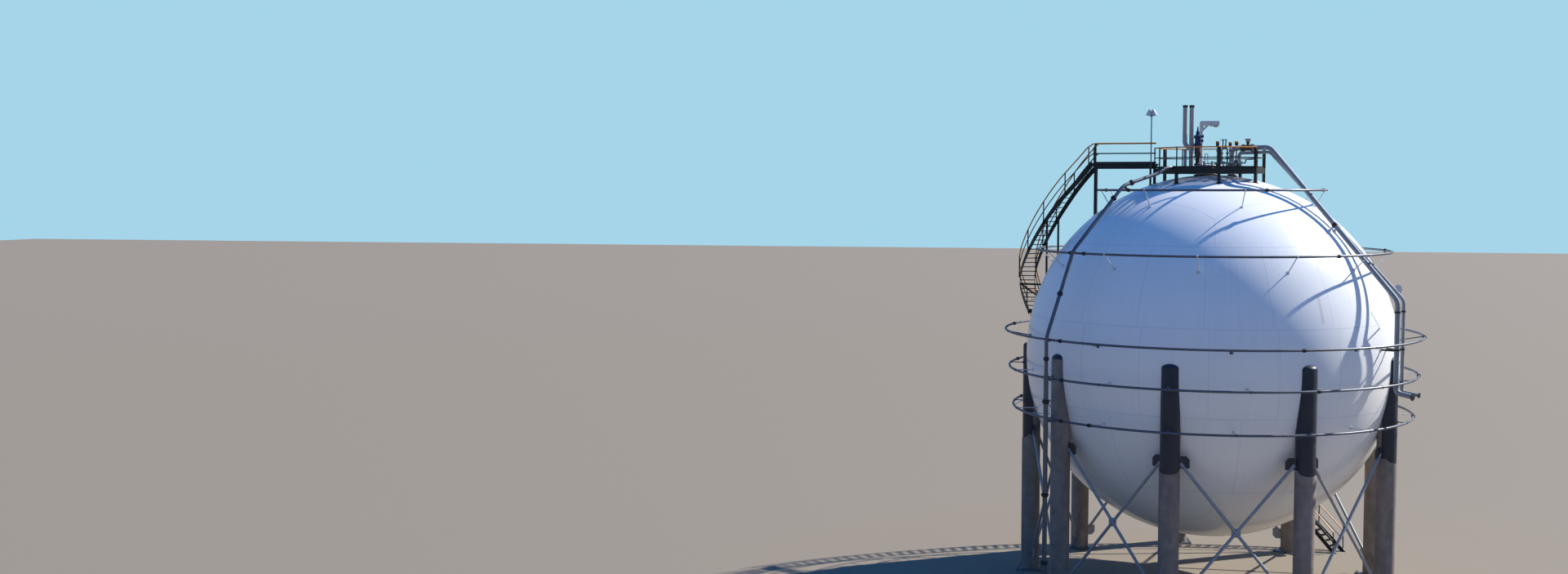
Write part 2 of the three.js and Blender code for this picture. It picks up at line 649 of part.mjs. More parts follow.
const stairs = new THREE.CatmullRomCurve3(UPPER_PLAN.map(([x, y]) => point(x * R, y * R, 0)));
const upperCount = Math.round((WALKWAY_HEIGHT - HALF_LANDING) / RISE);
const upperHeights = spread(WALKWAY_HEIGHT, HALF_LANDING, upperCount);
const upperPath = stairs.getSpacedPoints(upperCount).map((p, i) => p.setZ(upperHeights[i]));
const middleCount = Math.round((HALF_LANDING - QUARTER_LANDING) / RISE);
const lowerCount = Math.round((QUARTER_LANDING + EQUATOR_HEIGHT) / RISE);
const [halfFrom, halfTo] = HALF_LANDING_AZIMUTHS;
const [quarterFrom, quarterTo] = QUARTER_LANDING_AZIMUTHS;
const middlePath = helix(
  spread(halfTo, quarterFrom, middleCount),
  spread(HALF_LANDING, QUARTER_LANDING, middleCount),
);
const lowerPath = helix(
  spread(quarterTo, STAIR_FOOT_AZIMUTH, lowerCount),
  spread(QUARTER_LANDING, 130 - EQUATOR_HEIGHT, lowerCount),
);
const upperRailLine = drawnIn(coarse(upperPath), 0.12, 0.4);
const middleRailLine = drawnIn([
  ...helix([halfFrom - 1.4, halfTo + 0.7], [HALF_LANDING, HALF_LANDING]),
  ...coarse(middlePath).slice(1),
], 0, 0.1);
const lowerRailLine = [
  ...helix([quarterFrom - 0.5, quarterTo + 0.3], [QUARTER_LANDING, QUARTER_LANDING]),
  ...coarse(lowerPath).slice(1),
];

function addStairRails(name, line) {
  add(name + "_outer", stairRail(line, -1), YELLOW, 0.3, 0.5);
  add(name + "_inner", stairRail(line, 1), YELLOW, 0.3, 0.5);
}

// Upper flight, with a pair of posts on the shell under its middle and a bracket under its lower part
const supportPosts = [-1, 1].map((side) => {
  const p = offsetPath(upperPath, side * (STAIR_WIDTH / 2))[UPPER_SUPPORT_STEP];
  return shellPost(point(p.x, p.y, 0), p.z - 150, 100);
});
const held = upperPath[UPPER_BRACKET_STEP];
const heldRadius = Math.hypot(held.x, held.y);
const upperBracket = bracket(
  (Math.atan2(held.x, -held.y) * 180) / Math.PI,
  heldRadius + STAIR_WIDTH / 2,
  0.9 * R,
  held.z - 190,
  UPPER_BRACKET,
  heldRadius + STAIR_WIDTH / 8,
);
const upperFlight = join([flight(upperPath), ...railLugs(upperRailLine), ...supportPosts, ...upperBracket])
  .subtract(ball);
const trimmedUpper = trimmedAt(upperFlight.trimByPlane([-1, 0, 0], GAP - WALKWAY_END), halfFrom, 1);
add("stair_upper_flight", trimmedUpper, BLACK_STEEL, 0.3, 0.5);
addStairRails("stair_upper_rail", upperRailLine);

// Half landing and middle flight
const halfLanding = landing(HALF_LANDING_AZIMUTHS, HALF_LANDING, ball, 0.9 * R, HALF_LANDING_KNEE);
add("stair_half_landing", halfLanding, BLACK_STEEL, 0.3, 0.5);
const middleFlight = join([flight(middlePath), ...railLugs(middleRailLine, 2)]);
const trimmedMiddle = trimmedAt(trimmedAt(middleFlight, halfTo, -1), quarterFrom, 1);
add("stair_middle_flight", trimmedMiddle, BLACK_STEEL, 0.3, 0.5);
addStairRails("stair_middle_rail", middleRailLine);

// Quarter landing on a leg, and lower flight
const quarterLeg = legBody(FIRST_LEG - 2 * LEG_PITCH, GAP);
const quarterLanding = landing(
  QUARTER_LANDING_AZIMUTHS,
  QUARTER_LANDING,
  quarterLeg,
  LEG_CIRCLE + 300,
  HELIX_RADIUS + STAIR_WIDTH / 2 - 288,
);
add("stair_quarter_landing", quarterLanding, BLACK_STEEL, 0.3, 0.5);
const lowerFlight = join([flight(lowerPath), ...railLugs(lowerRailLine, 2)]);
const trimmedLower = trimmedAt(lowerFlight, quarterTo, -1).trimByPlane([0, 0, 1], -EQUATOR_HEIGHT);
add("stair_lower_flight", trimmedLower, BLACK_STEEL, 0.3, 0.5);
addStairRails("stair_lower_rail", lowerRailLine);

// Crown neck with its bolted cover, and the smaller process nozzle
function neck({ at: [x, y], radius, flange }, top) {
  const foot = crownAt(x, y) - 60;
  const profile = [
    [0, foot],
    [radius, foot],
    [radius, top - 140],
    [flange, top - 140],
    [flange, top],
    [0, top],
  ];
  return turned(profile, 20).translate([x, y, 0]).subtract(ball);
}

add("crown_neck", neck(NECK, COVER_TOP), GREY, 0.3, 0.5);
add("process_nozzle", neck(NOZZLE, COVER_TOP), GREY, 0.3, 0.5);

// Vent pipes, each standing on the deck; the left one jogs sideways at rail height
for (const { name, at: [x, y], top, jog } of VENTS) {
  const base = DECK_HEIGHT + GAP;
  const line = jog
    ? [point(x + jog, y, base + 10), point(x + jog, y, 1.145 * R), point(x, y, 1.165 * R), point(x, y, top)]
    : [point(x, y, base + 10), point(x, y, top)];
  const flange = drum(point(x + jog, y, 0), VENT_RADIUS + 46, base, base + 40, 12);
  add(name, join([pipe(line, VENT_RADIUS, 10), flange]), GREY, 0.3, 0.5);
}

// Relief valve on the crown neck's cover: body, side outlet, bonnet, spring housing and cap
const [reliefX, reliefY] = RELIEF_AT;
const reliefBase = COVER_TOP + GAP;
const reliefProfile = [
  [0, 0],
  [170, 0],
  [170, 50],
  [90, 70],
  [90, 200],
  [150, 240],
  [150, 420],
  [190, 440],
  [190, 490],
  [110, 520],
  [90, 760],
  [45, 790],
  [35, 1010],
  [0, 1010],
].map(([radius, height]) => [radius, height * 1.62]);
const reliefBody = turned(reliefProfile, 12).translate([reliefX, reliefY, reliefBase]);
const reliefOutlet = rod(
  point(reliefX, reliefY, reliefBase + 530),
  point(reliefX + 20, reliefY - 330, reliefBase + 530),
  95,
  10,
);
add("relief_valve", join([reliefBody, reliefOutlet]), BLUE, 0.3, 0.4);

// Davit for the cover: post, arm, knee brace and hoist housing
const [davitX, davitY] = DAVIT_AT;
const davitTop = 1.3 * R;
const armZ = davitTop - 100;
const davit = join([
  drum(point(davitX, davitY, 0), 90, DECK_HEIGHT + GAP, davitTop - 20, 10),
  drum(point(davitX, davitY, 0), 170, DECK_HEIGHT + GAP, DECK_HEIGHT + 40, 10),
  block(point(davitX + 400, davitY, armZ), 960, 180, 180),
  rod(point(davitX, davitY, armZ - 420), point(davitX + 380, davitY, armZ - 20), 45, 6),
  rod(point(davitX + 640, davitY, armZ - 90), point(davitX + 860, davitY, armZ - 90), 90, 10),
]);
add("davit", davit, 0xd9dcdc, 0.2, 0.5);

// Process pipes: one from the nozzle, one from the deck, both down the right side to a flange that faces out
PROCESS_PIPES.forEach(({ name, azimuth, radius, drop }, i) => {
  const path = processPaths[i];
  const lastStep = path[5].clone().sub(path[4]).normalize();
  const pieces = [
    pipe(bent(path, 2 * radius, 2), radius, 8),
    rod(path[5].clone().addScaledVector(lastStep, -45), path[5], radius * 1.6, 12),
    drum(path[0], radius * 1.6, path[0].z - 20, path[0].z + 30, 12),
  ];
  if (i === 0) {
    const valve = path[1].clone().lerp(path[2], 0.42);
    const run = path[2].clone().sub(path[1]).normalize();
    pieces.push(rod(valve.clone().addScaledVector(run, -300), valve.clone().addScaledVector(run, 300), 190, 12));
    pieces.push(drum(valve, 95, valve.z, valve.z + 380, 8), drum(valve, 140, valve.z + 370, valve.z + 450, 12));
  }
  const armFrom = Math.sqrt(R * R - PIPE_ARM_HEIGHT * PIPE_ARM_HEIGHT) - 60;
  const armMiddle = polar(azimuth, (armFrom + drop * R) / 2, PIPE_ARM_HEIGHT);
  pieces.push(block(armMiddle, drop * R - armFrom, 90, 90, polar(azimuth, 1, 0)));
  if (i === 0) {
    const { azimuth: beside, from, to, heights: [low, high] } = ELBOW_PLATE;
    pieces.push(block(polar(beside, (from + to) / 2, (low + high) / 2), to - from, 16, high - low, polar(beside, 1, 0)));
  }
  const slopeMiddle = path[2].clone().lerp(path[3], 0.52);
  pieces.push(rod(slopeMiddle, slopeMiddle.clone().setLength(R - 60), 60, 6));
  const others = [...ringCutters, ball];
  add(name, others.reduce((made, cutter) => made.subtract(cutter), join(pieces)), CLADDING, 0.7, 0.35);
});

// Light mast clamped to the walkway's front beam and rails: pole and twin reflector head
const [mastX, mastY] = MAST_AT;
const clamps = [[-130, walkBeam], [MID_RAIL, RAIL_BAR], [RAIL_HEIGHT, RAIL_BAR]].map(([height, width]) => {
  const face = -walkSide - width / 2 - GAP;
  return block(point(mastX, (mastY + face) / 2, WALKWAY_HEIGHT + height), 90, face - mastY, 60);
});
const mast = join([
  drum(point(mastX, mastY, 0), 30, WALKWAY_HEIGHT - walkDepth, MAST_TOP, 6),
  turned([[0, 0], [250, 0], [120, 210], [0, 210]], 12).translate([mastX, mastY, MAST_TOP - 60]),
  ...clamps,
]);
add("light_mast", mast, 0xb9bdbd, 0.3, 0.5);

// Valve stand: header on the deck with four risers and handwheels
const standY = -0.1 * R;
const header = rod(point(0.02 * R, standY, DECK_HEIGHT + 260), point(0.145 * R, standY, DECK_HEIGHT + 260), 55, 8);
const standPieces = [header];
[[0.035, 1240, 70], [0.065, 1330, 120], [0.095, 1250, 60], [0.125, 1210, 70]].forEach(
  ([x, height, wheel]) => {
    const at = point(x * R, standY, 0);
    standPieces.push(drum(at, 38, DECK_HEIGHT + 60, DECK_HEIGHT + height, 6));
    standPieces.push(drum(at, wheel, DECK_HEIGHT + height - 30, DECK_HEIGHT + height + 10, 10));
  },
);
for (const x of [0.03, 0.14]) {
  standPieces.push(block(point(x * R, standY, DECK_HEIGHT + GAP + 130), 70, 70, 260));
}
add("valve_stand", join(standPieces), GREY, 0.4, 0.5);

// The part's origin is the bottom centre of its bounding box
const box = new THREE.Box3().setFromObject(root);
const centre = box.getCenter(point(0, 0, 0));
for (const mesh of root.children) {
  mesh.geometry.translate(-centre.x, -centre.y, -box.min.z);
}

export default root;
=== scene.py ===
import bpy
import math
from mathutils import Matrix, Vector


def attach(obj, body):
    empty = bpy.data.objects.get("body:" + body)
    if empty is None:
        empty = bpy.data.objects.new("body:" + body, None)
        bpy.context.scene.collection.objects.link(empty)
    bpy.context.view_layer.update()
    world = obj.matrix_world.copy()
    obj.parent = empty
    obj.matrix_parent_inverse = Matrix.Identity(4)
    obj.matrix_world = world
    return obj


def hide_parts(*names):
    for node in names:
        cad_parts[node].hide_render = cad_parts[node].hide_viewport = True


# A spherical gas tank: a welded steel sphere on nine legs, with spray rings, a crown platform and a stair.
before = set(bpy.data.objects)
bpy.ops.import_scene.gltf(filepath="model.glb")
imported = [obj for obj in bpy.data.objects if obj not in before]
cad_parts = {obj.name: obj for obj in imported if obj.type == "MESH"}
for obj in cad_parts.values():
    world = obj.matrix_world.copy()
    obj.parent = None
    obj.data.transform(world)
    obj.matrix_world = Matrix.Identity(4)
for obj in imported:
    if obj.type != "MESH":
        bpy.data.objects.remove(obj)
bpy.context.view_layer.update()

# Shell
# Pressed steel plates welded into a ball, 18.3 m across and 40 mm thick, blasted and spray painted white.
# Level welds join its five courses and upright welds their plates; both are ground nearly flush.
RADIUS = 9.144
CENTRE = Vector((0, -0.5128, 11.6))
WALL = 0.04
BELT_EDGE, CAP_EDGE = 13, 39
COURSES = (
    ("bottom_cap", -90, -CAP_EDGE),
    ("lower_belt", -CAP_EDGE, -BELT_EDGE),
    ("equator_belt", -BELT_EDGE, BELT_EDGE),
    ("upper_belt", BELT_EDGE, CAP_EDGE),
    ("top_cap", CAP_EDGE, 90),
)
COURSE_GAP = 0.001
BELT_PITCH, CROWN_PITCH = 20, 60
CROWN_CORNER = 50.2
ARC_OUT, ARC_UP, ARC_STAND = 0.951, 0.308, 0.765 * RADIUS
RUST_AZIMUTH = 35


def linear(hex_colour):
    channels = [int(hex_colour[i:i + 2], 16) / 255 for i in (1, 3, 5)]
    return [c / 12.92 if c <= 0.04045 else ((c + 0.055) / 1.055) ** 2.4 for c in channels] + [1]


def socket_of(source):
    return source.outputs[0] if isinstance(source, bpy.types.Node) else source


def node(material, kind, links=(), **settings):
    """Adds a node; its links, in order or by name, are sockets, nodes (their first output) or constants"""
    made = material.node_tree.nodes.new("ShaderNode" + kind)
    for name, value in settings.items():
        setattr(made, name, value)
    for name, source in links.items() if isinstance(links, dict) else enumerate(links):
        source = socket_of(source)
        if isinstance(source, bpy.types.NodeSocket):
            material.node_tree.links.new(source, made.inputs[name])
        else:
            made.inputs[name].default_value = source
    return made


def new_material(name, **constants):
    material = bpy.data.materials.new(name)
    material.use_nodes = True
    shader = material.node_tree.nodes["Principled BSDF"]
    for socket, value in constants.items():
        shader.inputs[socket.replace("_", " ")].default_value = value
    return material, shader


def feed(shader, **sources):
    """Links a node or socket to each named input of a shader"""
    for name, source in sources.items():
        shader.id_data.links.new(socket_of(source), shader.inputs[name.replace("_", " ")])


def painted(finish, *pieces):
    """Gives each piece its finish and returns them all"""
    for piece in pieces:
        piece.data.materials.clear()
        piece.data.materials.append(finish)
    return list(pieces)


def only(*things):
    bpy.ops.object.select_all(action="DESELECT")
    for thing in things:
        thing.select_set(True)
    bpy.context.view_layer.objects.active = things[0]


def scrap(*things):
    for thing in things:
        bpy.data.objects.remove(thing)


def added(operator, **settings):
    """Adds a primitive with nothing else selected, its place and turn laid into its mesh"""
    bpy.ops.object.select_all(action="DESELECT")
    operator(**settings)
    bpy.ops.object.transform_apply()
    return bpy.context.object


def finished(thing, kind, **settings):
    """Adds a modifier with its settings and applies it"""
    only(thing)
    modifier = thing.modifiers.new(kind.lower(), kind)
    for name, value in settings.items():
        setattr(modifier, name, value)
    bpy.ops.object.modifier_apply(modifier=modifier.name)


def trimmed(thing, spot, normal, closed=True):
    """Cuts away what lies beyond a plane and can close the cut"""
    only(thing)
    bpy.ops.object.mode_set(mode="EDIT")
    bpy.ops.mesh.select_all(action="SELECT")
    bpy.ops.mesh.bisect(plane_co=spot, plane_no=normal, use_fill=closed, clear_outer=True)
    bpy.ops.object.mode_set(mode="OBJECT")
    return thing


def smoothed(thing, degrees=35):
    only(thing)
    bpy.ops.object.shade_smooth_by_angle(angle=math.radians(degrees))


def mount(piece, name, replaced):
    piece.name = name
    piece.data.name = name
    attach(piece, "root")
    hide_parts(replaced)


# Alkyd gloss paint, sprayed on blasted plate: an even white with soft reflections that bend a little with the
# plates' waviness, faint rain streaks down the shell, and a rust run under one upright weld
white_paint, shader = new_material("alkyd_gloss_white_on_plate")
place = node(white_paint, "TexCoord").outputs["Object"]
local = node(white_paint, "VectorMath", (place, CENTRE), operation="SUBTRACT")
split = node(white_paint, "SeparateXYZ", (local,)).outputs
height = node(white_paint, "Math", (split["Z"],), operation="ABSOLUTE")
toward = node(white_paint, "Math", (split["Y"], -1), operation="MULTIPLY")
azimuth = node(white_paint, "Math", (split["X"], toward), operation="ARCTAN2")
level = node(white_paint, "VectorMath", (local, (1, 1, 0)), operation="MULTIPLY")
around = node(white_paint, "VectorMath", (level,), operation="LENGTH").outputs["Value"]


def fold(offset, pitch):
    """Distance round the shell from the nearest of the upright lines that repeat every pitch, in radians"""
    from_line = (azimuth, math.radians(offset))
    turned_by = node(white_paint, "Math", from_line, operation="SUBTRACT")
    half_pitch = (turned_by, math.radians(pitch / 2))
    return node(white_paint, "Math", half_pitch, operation="PINGPONG")


def within(distance, coordinate, low, high):
    """A distance to a weld, pushed out of reach where the coordinate leaves the weld's course"""
    band = (coordinate, (low + high) / 2, (high - low) / 2)
    inside = node(white_paint, "Math", band, operation="COMPARE")
    away = node(white_paint, "Math", (1, inside), operation="SUBTRACT")
    return node(white_paint, "Math", (distance, away), operation="ADD")


def height_at(latitude):
    return RADIUS * math.sin(math.radians(latitude))


cap_from = height_at(CAP_EDGE)
welds = []
for latitude in (BELT_EDGE, CAP_EDGE):
    gap = node(white_paint, "Math", (height, height_at(latitude)), operation="SUBTRACT")
    welds.append(node(white_paint, "Math", (gap,), operation="ABSOLUTE"))
for offset, (_, low, high) in zip((30, 40.3, 18.8), COURSES[1:4]):
    run = node(white_paint, "Math", (fold(offset, BELT_PITCH), around), operation="MULTIPLY")
    welds.append(within(run, split["Z"], height_at(low), height_at(high)))
# The caps: six crown plates meet in arcs of a smaller circle, and an upright weld runs down from each corner.
# Each arc lies in a plane that leans 18 degrees from upright and stands 0.765 of the radius from the centre.
cosine = node(white_paint, "Math", (fold(-27.8, CROWN_PITCH),), operation="COSINE")
reach = node(white_paint, "Math", (cosine, around), operation="MULTIPLY")
level_part = (reach, ARC_OUT, -ARC_STAND)
outward = node(white_paint, "Math", level_part, operation="MULTIPLY_ADD")
arc = node(white_paint, "Math", (height, ARC_UP, outward), operation="MULTIPLY_ADD")
arc = node(white_paint, "Math", (arc,), operation="ABSOLUTE")
welds.append(within(arc, height, cap_from, RADIUS))
corner = node(white_paint, "Math", (fold(2.2, CROWN_PITCH), around), operation="MULTIPLY")
welds.append(within(corner, height, cap_from, height_at(CROWN_CORNER)))
nearest = welds[0]
for weld in welds[1:]:
    nearest = node(white_paint, "Math", (nearest, weld), operation="MINIMUM")
# A ground weld is about 30 mm wide, under a pixel here, so it is drawn 60 mm wide
weld_edge = {"Value": nearest, "From Min": 0.012, "From Max": 0.038, "To Min": 1, "To Max": 0}
seam = node(white_paint, "MapRange", weld_edge, interpolation_type="SMOOTHSTEP")
# Rain streaks about 150 mm wide and several metres long, and cloudy dirt a few metres across
arc_length = node(white_paint, "Math", (azimuth, RADIUS), operation="MULTIPLY")
unrolled = node(white_paint, "CombineXYZ", {"X": arc_length, "Z": split["Z"]})
drawn_out = node(white_paint, "Mapping", {"Vector": unrolled, "Scale": (6, 1, 0.25)})
streaks = node(white_paint, "TexNoise", {"Vector": drawn_out, "Scale": 1, "Detail": 4})
clouds = node(white_paint, "TexNoise", {"Vector": local, "Scale": 0.35, "Detail": 3})
dirt = node(white_paint, "Math", (streaks, clouds), operation="MULTIPLY")
soiling = node(white_paint, "MapRange", {"Value": dirt, "From Min": 0.2, "From Max": 0.42})
tones = {"Factor": soiling, 6: linear("#f7f7f5"), 7: linear("#f2f3f2")}
dirty = node(white_paint, "Mix", tones, data_type="RGBA").outputs[2]
tones = {"Factor": seam, 6: dirty, 7: linear("#e9ebed")}
seamed = node(white_paint, "Mix", tones, data_type="RGBA").outputs[2]
# The rust run: 120 mm wide and 1.2 m long
rust_line = (azimuth, math.radians(RUST_AZIMUTH))
rust_side = node(white_paint, "Math", rust_line, operation="SUBTRACT")
rust_side = node(white_paint, "Math", (rust_side,), operation="ABSOLUTE")
rust_edge = {"Value": rust_side, "From Min": 0.002, "From Max": 0.012, "To Min": 0.55, "To Max": 0}
rust_width = node(white_paint, "MapRange", rust_edge)
rust_band = (split["Z"], height_at(18.5), 0.6)
rust_height = node(white_paint, "Math", rust_band, operation="COMPARE")
rust = node(white_paint, "Math", (rust_width, rust_height), operation="MULTIPLY")
rust = node(white_paint, "Math", (rust, streaks), operation="MULTIPLY")
tones = {"Factor": rust, 6: seamed, 7: linear("#a5692f")}
rusted = node(white_paint, "Mix", tones, data_type="RGBA").outputs[2]
dulling = {"Value": clouds, "From Min": 0.3, "From Max": 0.7, "To Min": 0.16, "To Max": 0.26}
gloss = node(white_paint, "MapRange", dulling)
# The plates wander by a few millimetres over about two metres
wave = node(white_paint, "TexNoise", {"Vector": local, "Scale": 0.55, "Detail": 1})
waved = node(white_paint, "Bump", {"Height": wave, "Distance": 0.006, "Strength": 0.4})
ridged = node(white_paint, "Bump", {"Height": seam, "Distance": 0.0015, "Normal": waved})
feed(shader, Base_Color=rusted, Roughness=gloss, Normal=ridged)

for name, low, high in COURSES:
    course = added(
        bpy.ops.mesh.primitive_uv_sphere_add, segments=144, ring_count=90, radius=RADIUS, location=CENTRE
    )
    for latitude, beyond in ((low, -1), (high, 1)):
        if abs(latitude) < 90:
            cut_at = CENTRE.z + height_at(latitude) - beyond * COURSE_GAP / 2
            trimmed(course, (0, 0, cut_at), (0, 0, beyond), closed=False)
    finished(course, "SOLIDIFY", thickness=WALL, offset=-1)
    smoothed(course, 30)
    painted(white_paint, course)
    mount(course, "plates_" + name, "shell_" + name)

# Legs
# Nine welded steel tubes, coped to the shell under a domed cap and painted slate grey. A trowelled cement
# coat guards each against fire: right up on the second leg, up to a bared patch that faces out on the others.
LEG_CIRCLE = 0.976 * RADIUS
LEG_PITCH = 40
NINE_ROUND = [LEG_PITCH * k for k in range(9)]
LEG_AZIMUTHS = [-90.5 + a for a in NINE_ROUND]
FULLY_COATED_LEG = 2
STUB_RADIUS = 0.45
COLUMN_RADIUS = 0.475
STUB_TOP = 0.47
DOME_RISE = 0.23
STUB_BOTTOM = -4.9
FULL_COAT_TOP = 0.2
BARED_COAT_TOP = -2.5
BARED_FROM = -4.4
LIP_SIZE, LIP_OUT = (0.5, 0.44, 0.26), 0.3
BARED_BOX, BARED_OUT = Vector((1, 0.74, 2)), 0.23
PLATE_SIZE = 1.3
PLATE_THICKNESS = 0.06
BOLT_PITCH = 0.56


def up(by):
    return Vector((0, 0, by))


def around_axis(azimuth):
    """Level unit vector at right angles to an azimuth, the way that azimuths grow"""
    return Vector((math.cos(math.radians(azimuth)), math.sin(math.radians(azimuth)), 0))


def at(azimuth, radius, height):
    """Point from azimuth (0 towards the camera, positive to the right), radius and height over the centre"""
    a = math.radians(azimuth)
    return CENTRE + Vector((radius * math.sin(a), -radius * math.cos(a), height))


def turned(profile, place, sides=48):
    """Round upright body: a disc at a place, drawn up and scaled through its profile of radius and height"""
    radius, base = profile[0]
    start = Vector(place) + up(base)
    body = added(
        bpy.ops.mesh.primitive_circle_add, vertices=sides, radius=radius, fill_type="NGON", location=start
    )
    bpy.ops.object.mode_set(mode="EDIT")
    bpy.ops.mesh.select_all(action="SELECT")
    for (before, low), (after, high) in zip(profile, profile[1:]):
        bpy.ops.mesh.extrude_region_move(TRANSFORM_OT_translate={"value": (0, 0, high - low)})
        share = after / before
        bpy.ops.transform.resize(value=(share, share, 1), center_override=Vector(place) + up(high))
    bpy.ops.mesh.select_all(action="SELECT")
    bpy.ops.mesh.normals_make_consistent(inside=False)
    bpy.ops.object.mode_set(mode="OBJECT")
    return body


def cut(target, cutter):
    finished(target, "BOOLEAN", object=cutter, operation="DIFFERENCE", solver="EXACT")


def joined(pieces):
    only(*pieces)
    if len(pieces) > 1:
        bpy.ops.object.join()
    bpy.ops.object.transform_apply()
    return bpy.context.object


def assembled(pieces, name, replaced, degrees=35):
    """Joins painted pieces into the one visible piece that takes a node's place"""
    whole = joined(pieces)
    smoothed(whole, degrees)
    mount(whole, name, replaced)


def placed(template, matrix):
    copy = template.copy()
    copy.data = template.data.copy()
    bpy.context.collection.objects.link(copy)
    copy.data.transform(matrix)
    return copy


def swung(template, degrees):
    """Copy of a piece, turned round the upright axis of the shell"""
    turn = Matrix.Rotation(math.radians(degrees), 4, "Z")
    return placed(template, Matrix.Translation(CENTRE) @ turn @ Matrix.Translation(-CENTRE))


def block(centre, size, heading=(1, 0, 0)):
    """Box with its length along a heading and its height as near upright as that allows"""
    along = Vector(heading)
    yaw = math.atan2(along.y, along.x)
    pitch = -math.atan2(along.z, math.hypot(along.x, along.y))
    turn = (0, pitch, yaw)
    return added(bpy.ops.mesh.primitive_cube_add, size=1, location=centre, rotation=turn, scale=size)


def rod(a, b, radius, sides=12):
    along = Vector(b) - Vector(a)
    return added(
        bpy.ops.mesh.primitive_cylinder_add, vertices=sides, radius=radius, depth=along.length,
        location=(Vector(a) + Vector(b)) / 2, rotation=along.to_track_quat("Z", "Y").to_euler(),
    )


def drum(spot, way, back, front, radius, sides):
    """Cylinder along a way through a spot, from a distance behind the spot to one beyond it"""
    return rod(spot - way * back, spot + way * front, radius, sides)


def mottled(name, scale, detail, dark, light, dent=0.0, rough=None, **constants):
    """Material that wanders between two colours over noise patches, which also dent or dull its surface"""
    material, shader = new_material(name, **constants)
    place = node(material, "TexCoord").outputs["Object"]
    patches = node(material, "TexNoise", {"Vector": place, "Scale": scale, "Detail": detail})
    tones = {"Factor": patches, 6: linear(dark), 7: linear(light)}
    feed(shader, Base_Color=node(material, "Mix", tones, data_type="RGBA").outputs[2])
    if dent:
        feed(shader, Normal=node(material, "Bump", {"Height": patches, "Distance": dent}))
    if rough:
        dulling = {"Value": patches, "From Min": 0.3, "From Max": 0.7, "To Min": rough[0], "To Max": rough[1]}
        feed(shader, Roughness=node(material, "MapRange", dulling))
    return material


# Alkyd primer and slate-grey finish, brushed: satin, a little chalky. Brush marks about 300 mm across
slate_paint = mottled("alkyd_satin_slate_on_steel", 3, 5, "#1c1f27", "#2e323c", 0.002, Roughness=0.42)

# Cement and vermiculite fireproofing, trowelled over mesh: matt, warm grey, blotched and finely pitted
cement_coat, shader = new_material("trowelled_cement_fireproofing", Roughness=0.9)
place = node(cement_coat, "TexCoord").outputs["Object"]
# Trowel patches about 400 mm across; the 3 mm grit is drawn at 30 mm so that it shows
blotches = node(cement_coat, "TexNoise", {"Vector": place, "Scale": 2.4, "Detail": 6})
stretched = node(cement_coat, "Mapping", {"Vector": place, "Scale": (2.5, 2.5, 0.5)})
runs = node(cement_coat, "TexNoise", {"Vector": stretched, "Scale": 1, "Detail": 3})
weathered = node(cement_coat, "Math", (blotches, runs), operation="MULTIPLY")
tone = node(cement_coat, "MapRange", {"Value": weathered, "From Min": 0.12, "From Max": 0.42})
tones = {"Factor": tone, 6: linear("#7b7069"), 7: linear("#978b80")}
cement = node(cement_coat, "Mix", tones, data_type="RGBA").outputs[2]
grit = node(cement_coat, "TexNoise", {"Vector": place, "Scale": 33, "Detail": 3})
pitted = node(cement_coat, "Bump", {"Height": grit, "Distance": 0.003, "Strength": 0.5})
feed(shader, Base_Color=cement, Normal=pitted)

# Hot-dip galvanised steel: a dull dark zinc skin with spangle, matt where it has weathered
galvanised, shader = new_material("hot_dip_galvanised_steel", Metallic=0.5)
place = node(galvanised, "TexCoord").outputs["Object"]
# Zinc spangle is about 10 mm; it is drawn at 60 mm. It weathers in patches about 600 mm across
spangle = node(galvanised, "TexVoronoi", {"Vector": place, "Scale": 16}).outputs["Color"]
weather = node(galvanised, "TexNoise", {"Vector": place, "Scale": 1.6, "Detail": 5})
tones = {"Factor": 0.12, 6: weather, 7: spangle}
speck = node(galvanised, "Mix", tones, data_type="RGBA").outputs[2]
tones = {"Factor": speck, 6: linear("#4b5058"), 7: linear("#747981")}
zinc = node(galvanised, "Mix", tones, data_type="RGBA").outputs[2]
dulling = {"Value": weather, "From Min": 0.3, "From Max": 0.7, "To Min": 0.34, "To Max": 0.5}
feed(shader, Base_Color=zinc, Roughness=node(galvanised, "MapRange", dulling))

foot = at(0, LEG_CIRCLE, -CENTRE.z)
ball = added(
    bpy.ops.mesh.primitive_uv_sphere_add, segments=144, ring_count=90, radius=RADIUS - 0.02, location=CENTRE
)
dome = [
    (STUB_RADIUS * math.cos(math.radians(a)), STUB_TOP - DOME_RISE + DOME_RISE * math.sin(math.radians(a)))
    for a in (0, 12, 24, 36, 48, 60, 72, 82, 88)
]
plate = block(foot + up(PLATE_THICKNESS / 2), (PLATE_SIZE, PLATE_SIZE, PLATE_THICKNESS))
finished(plate, "BEVEL", width=0.006, segments=2)
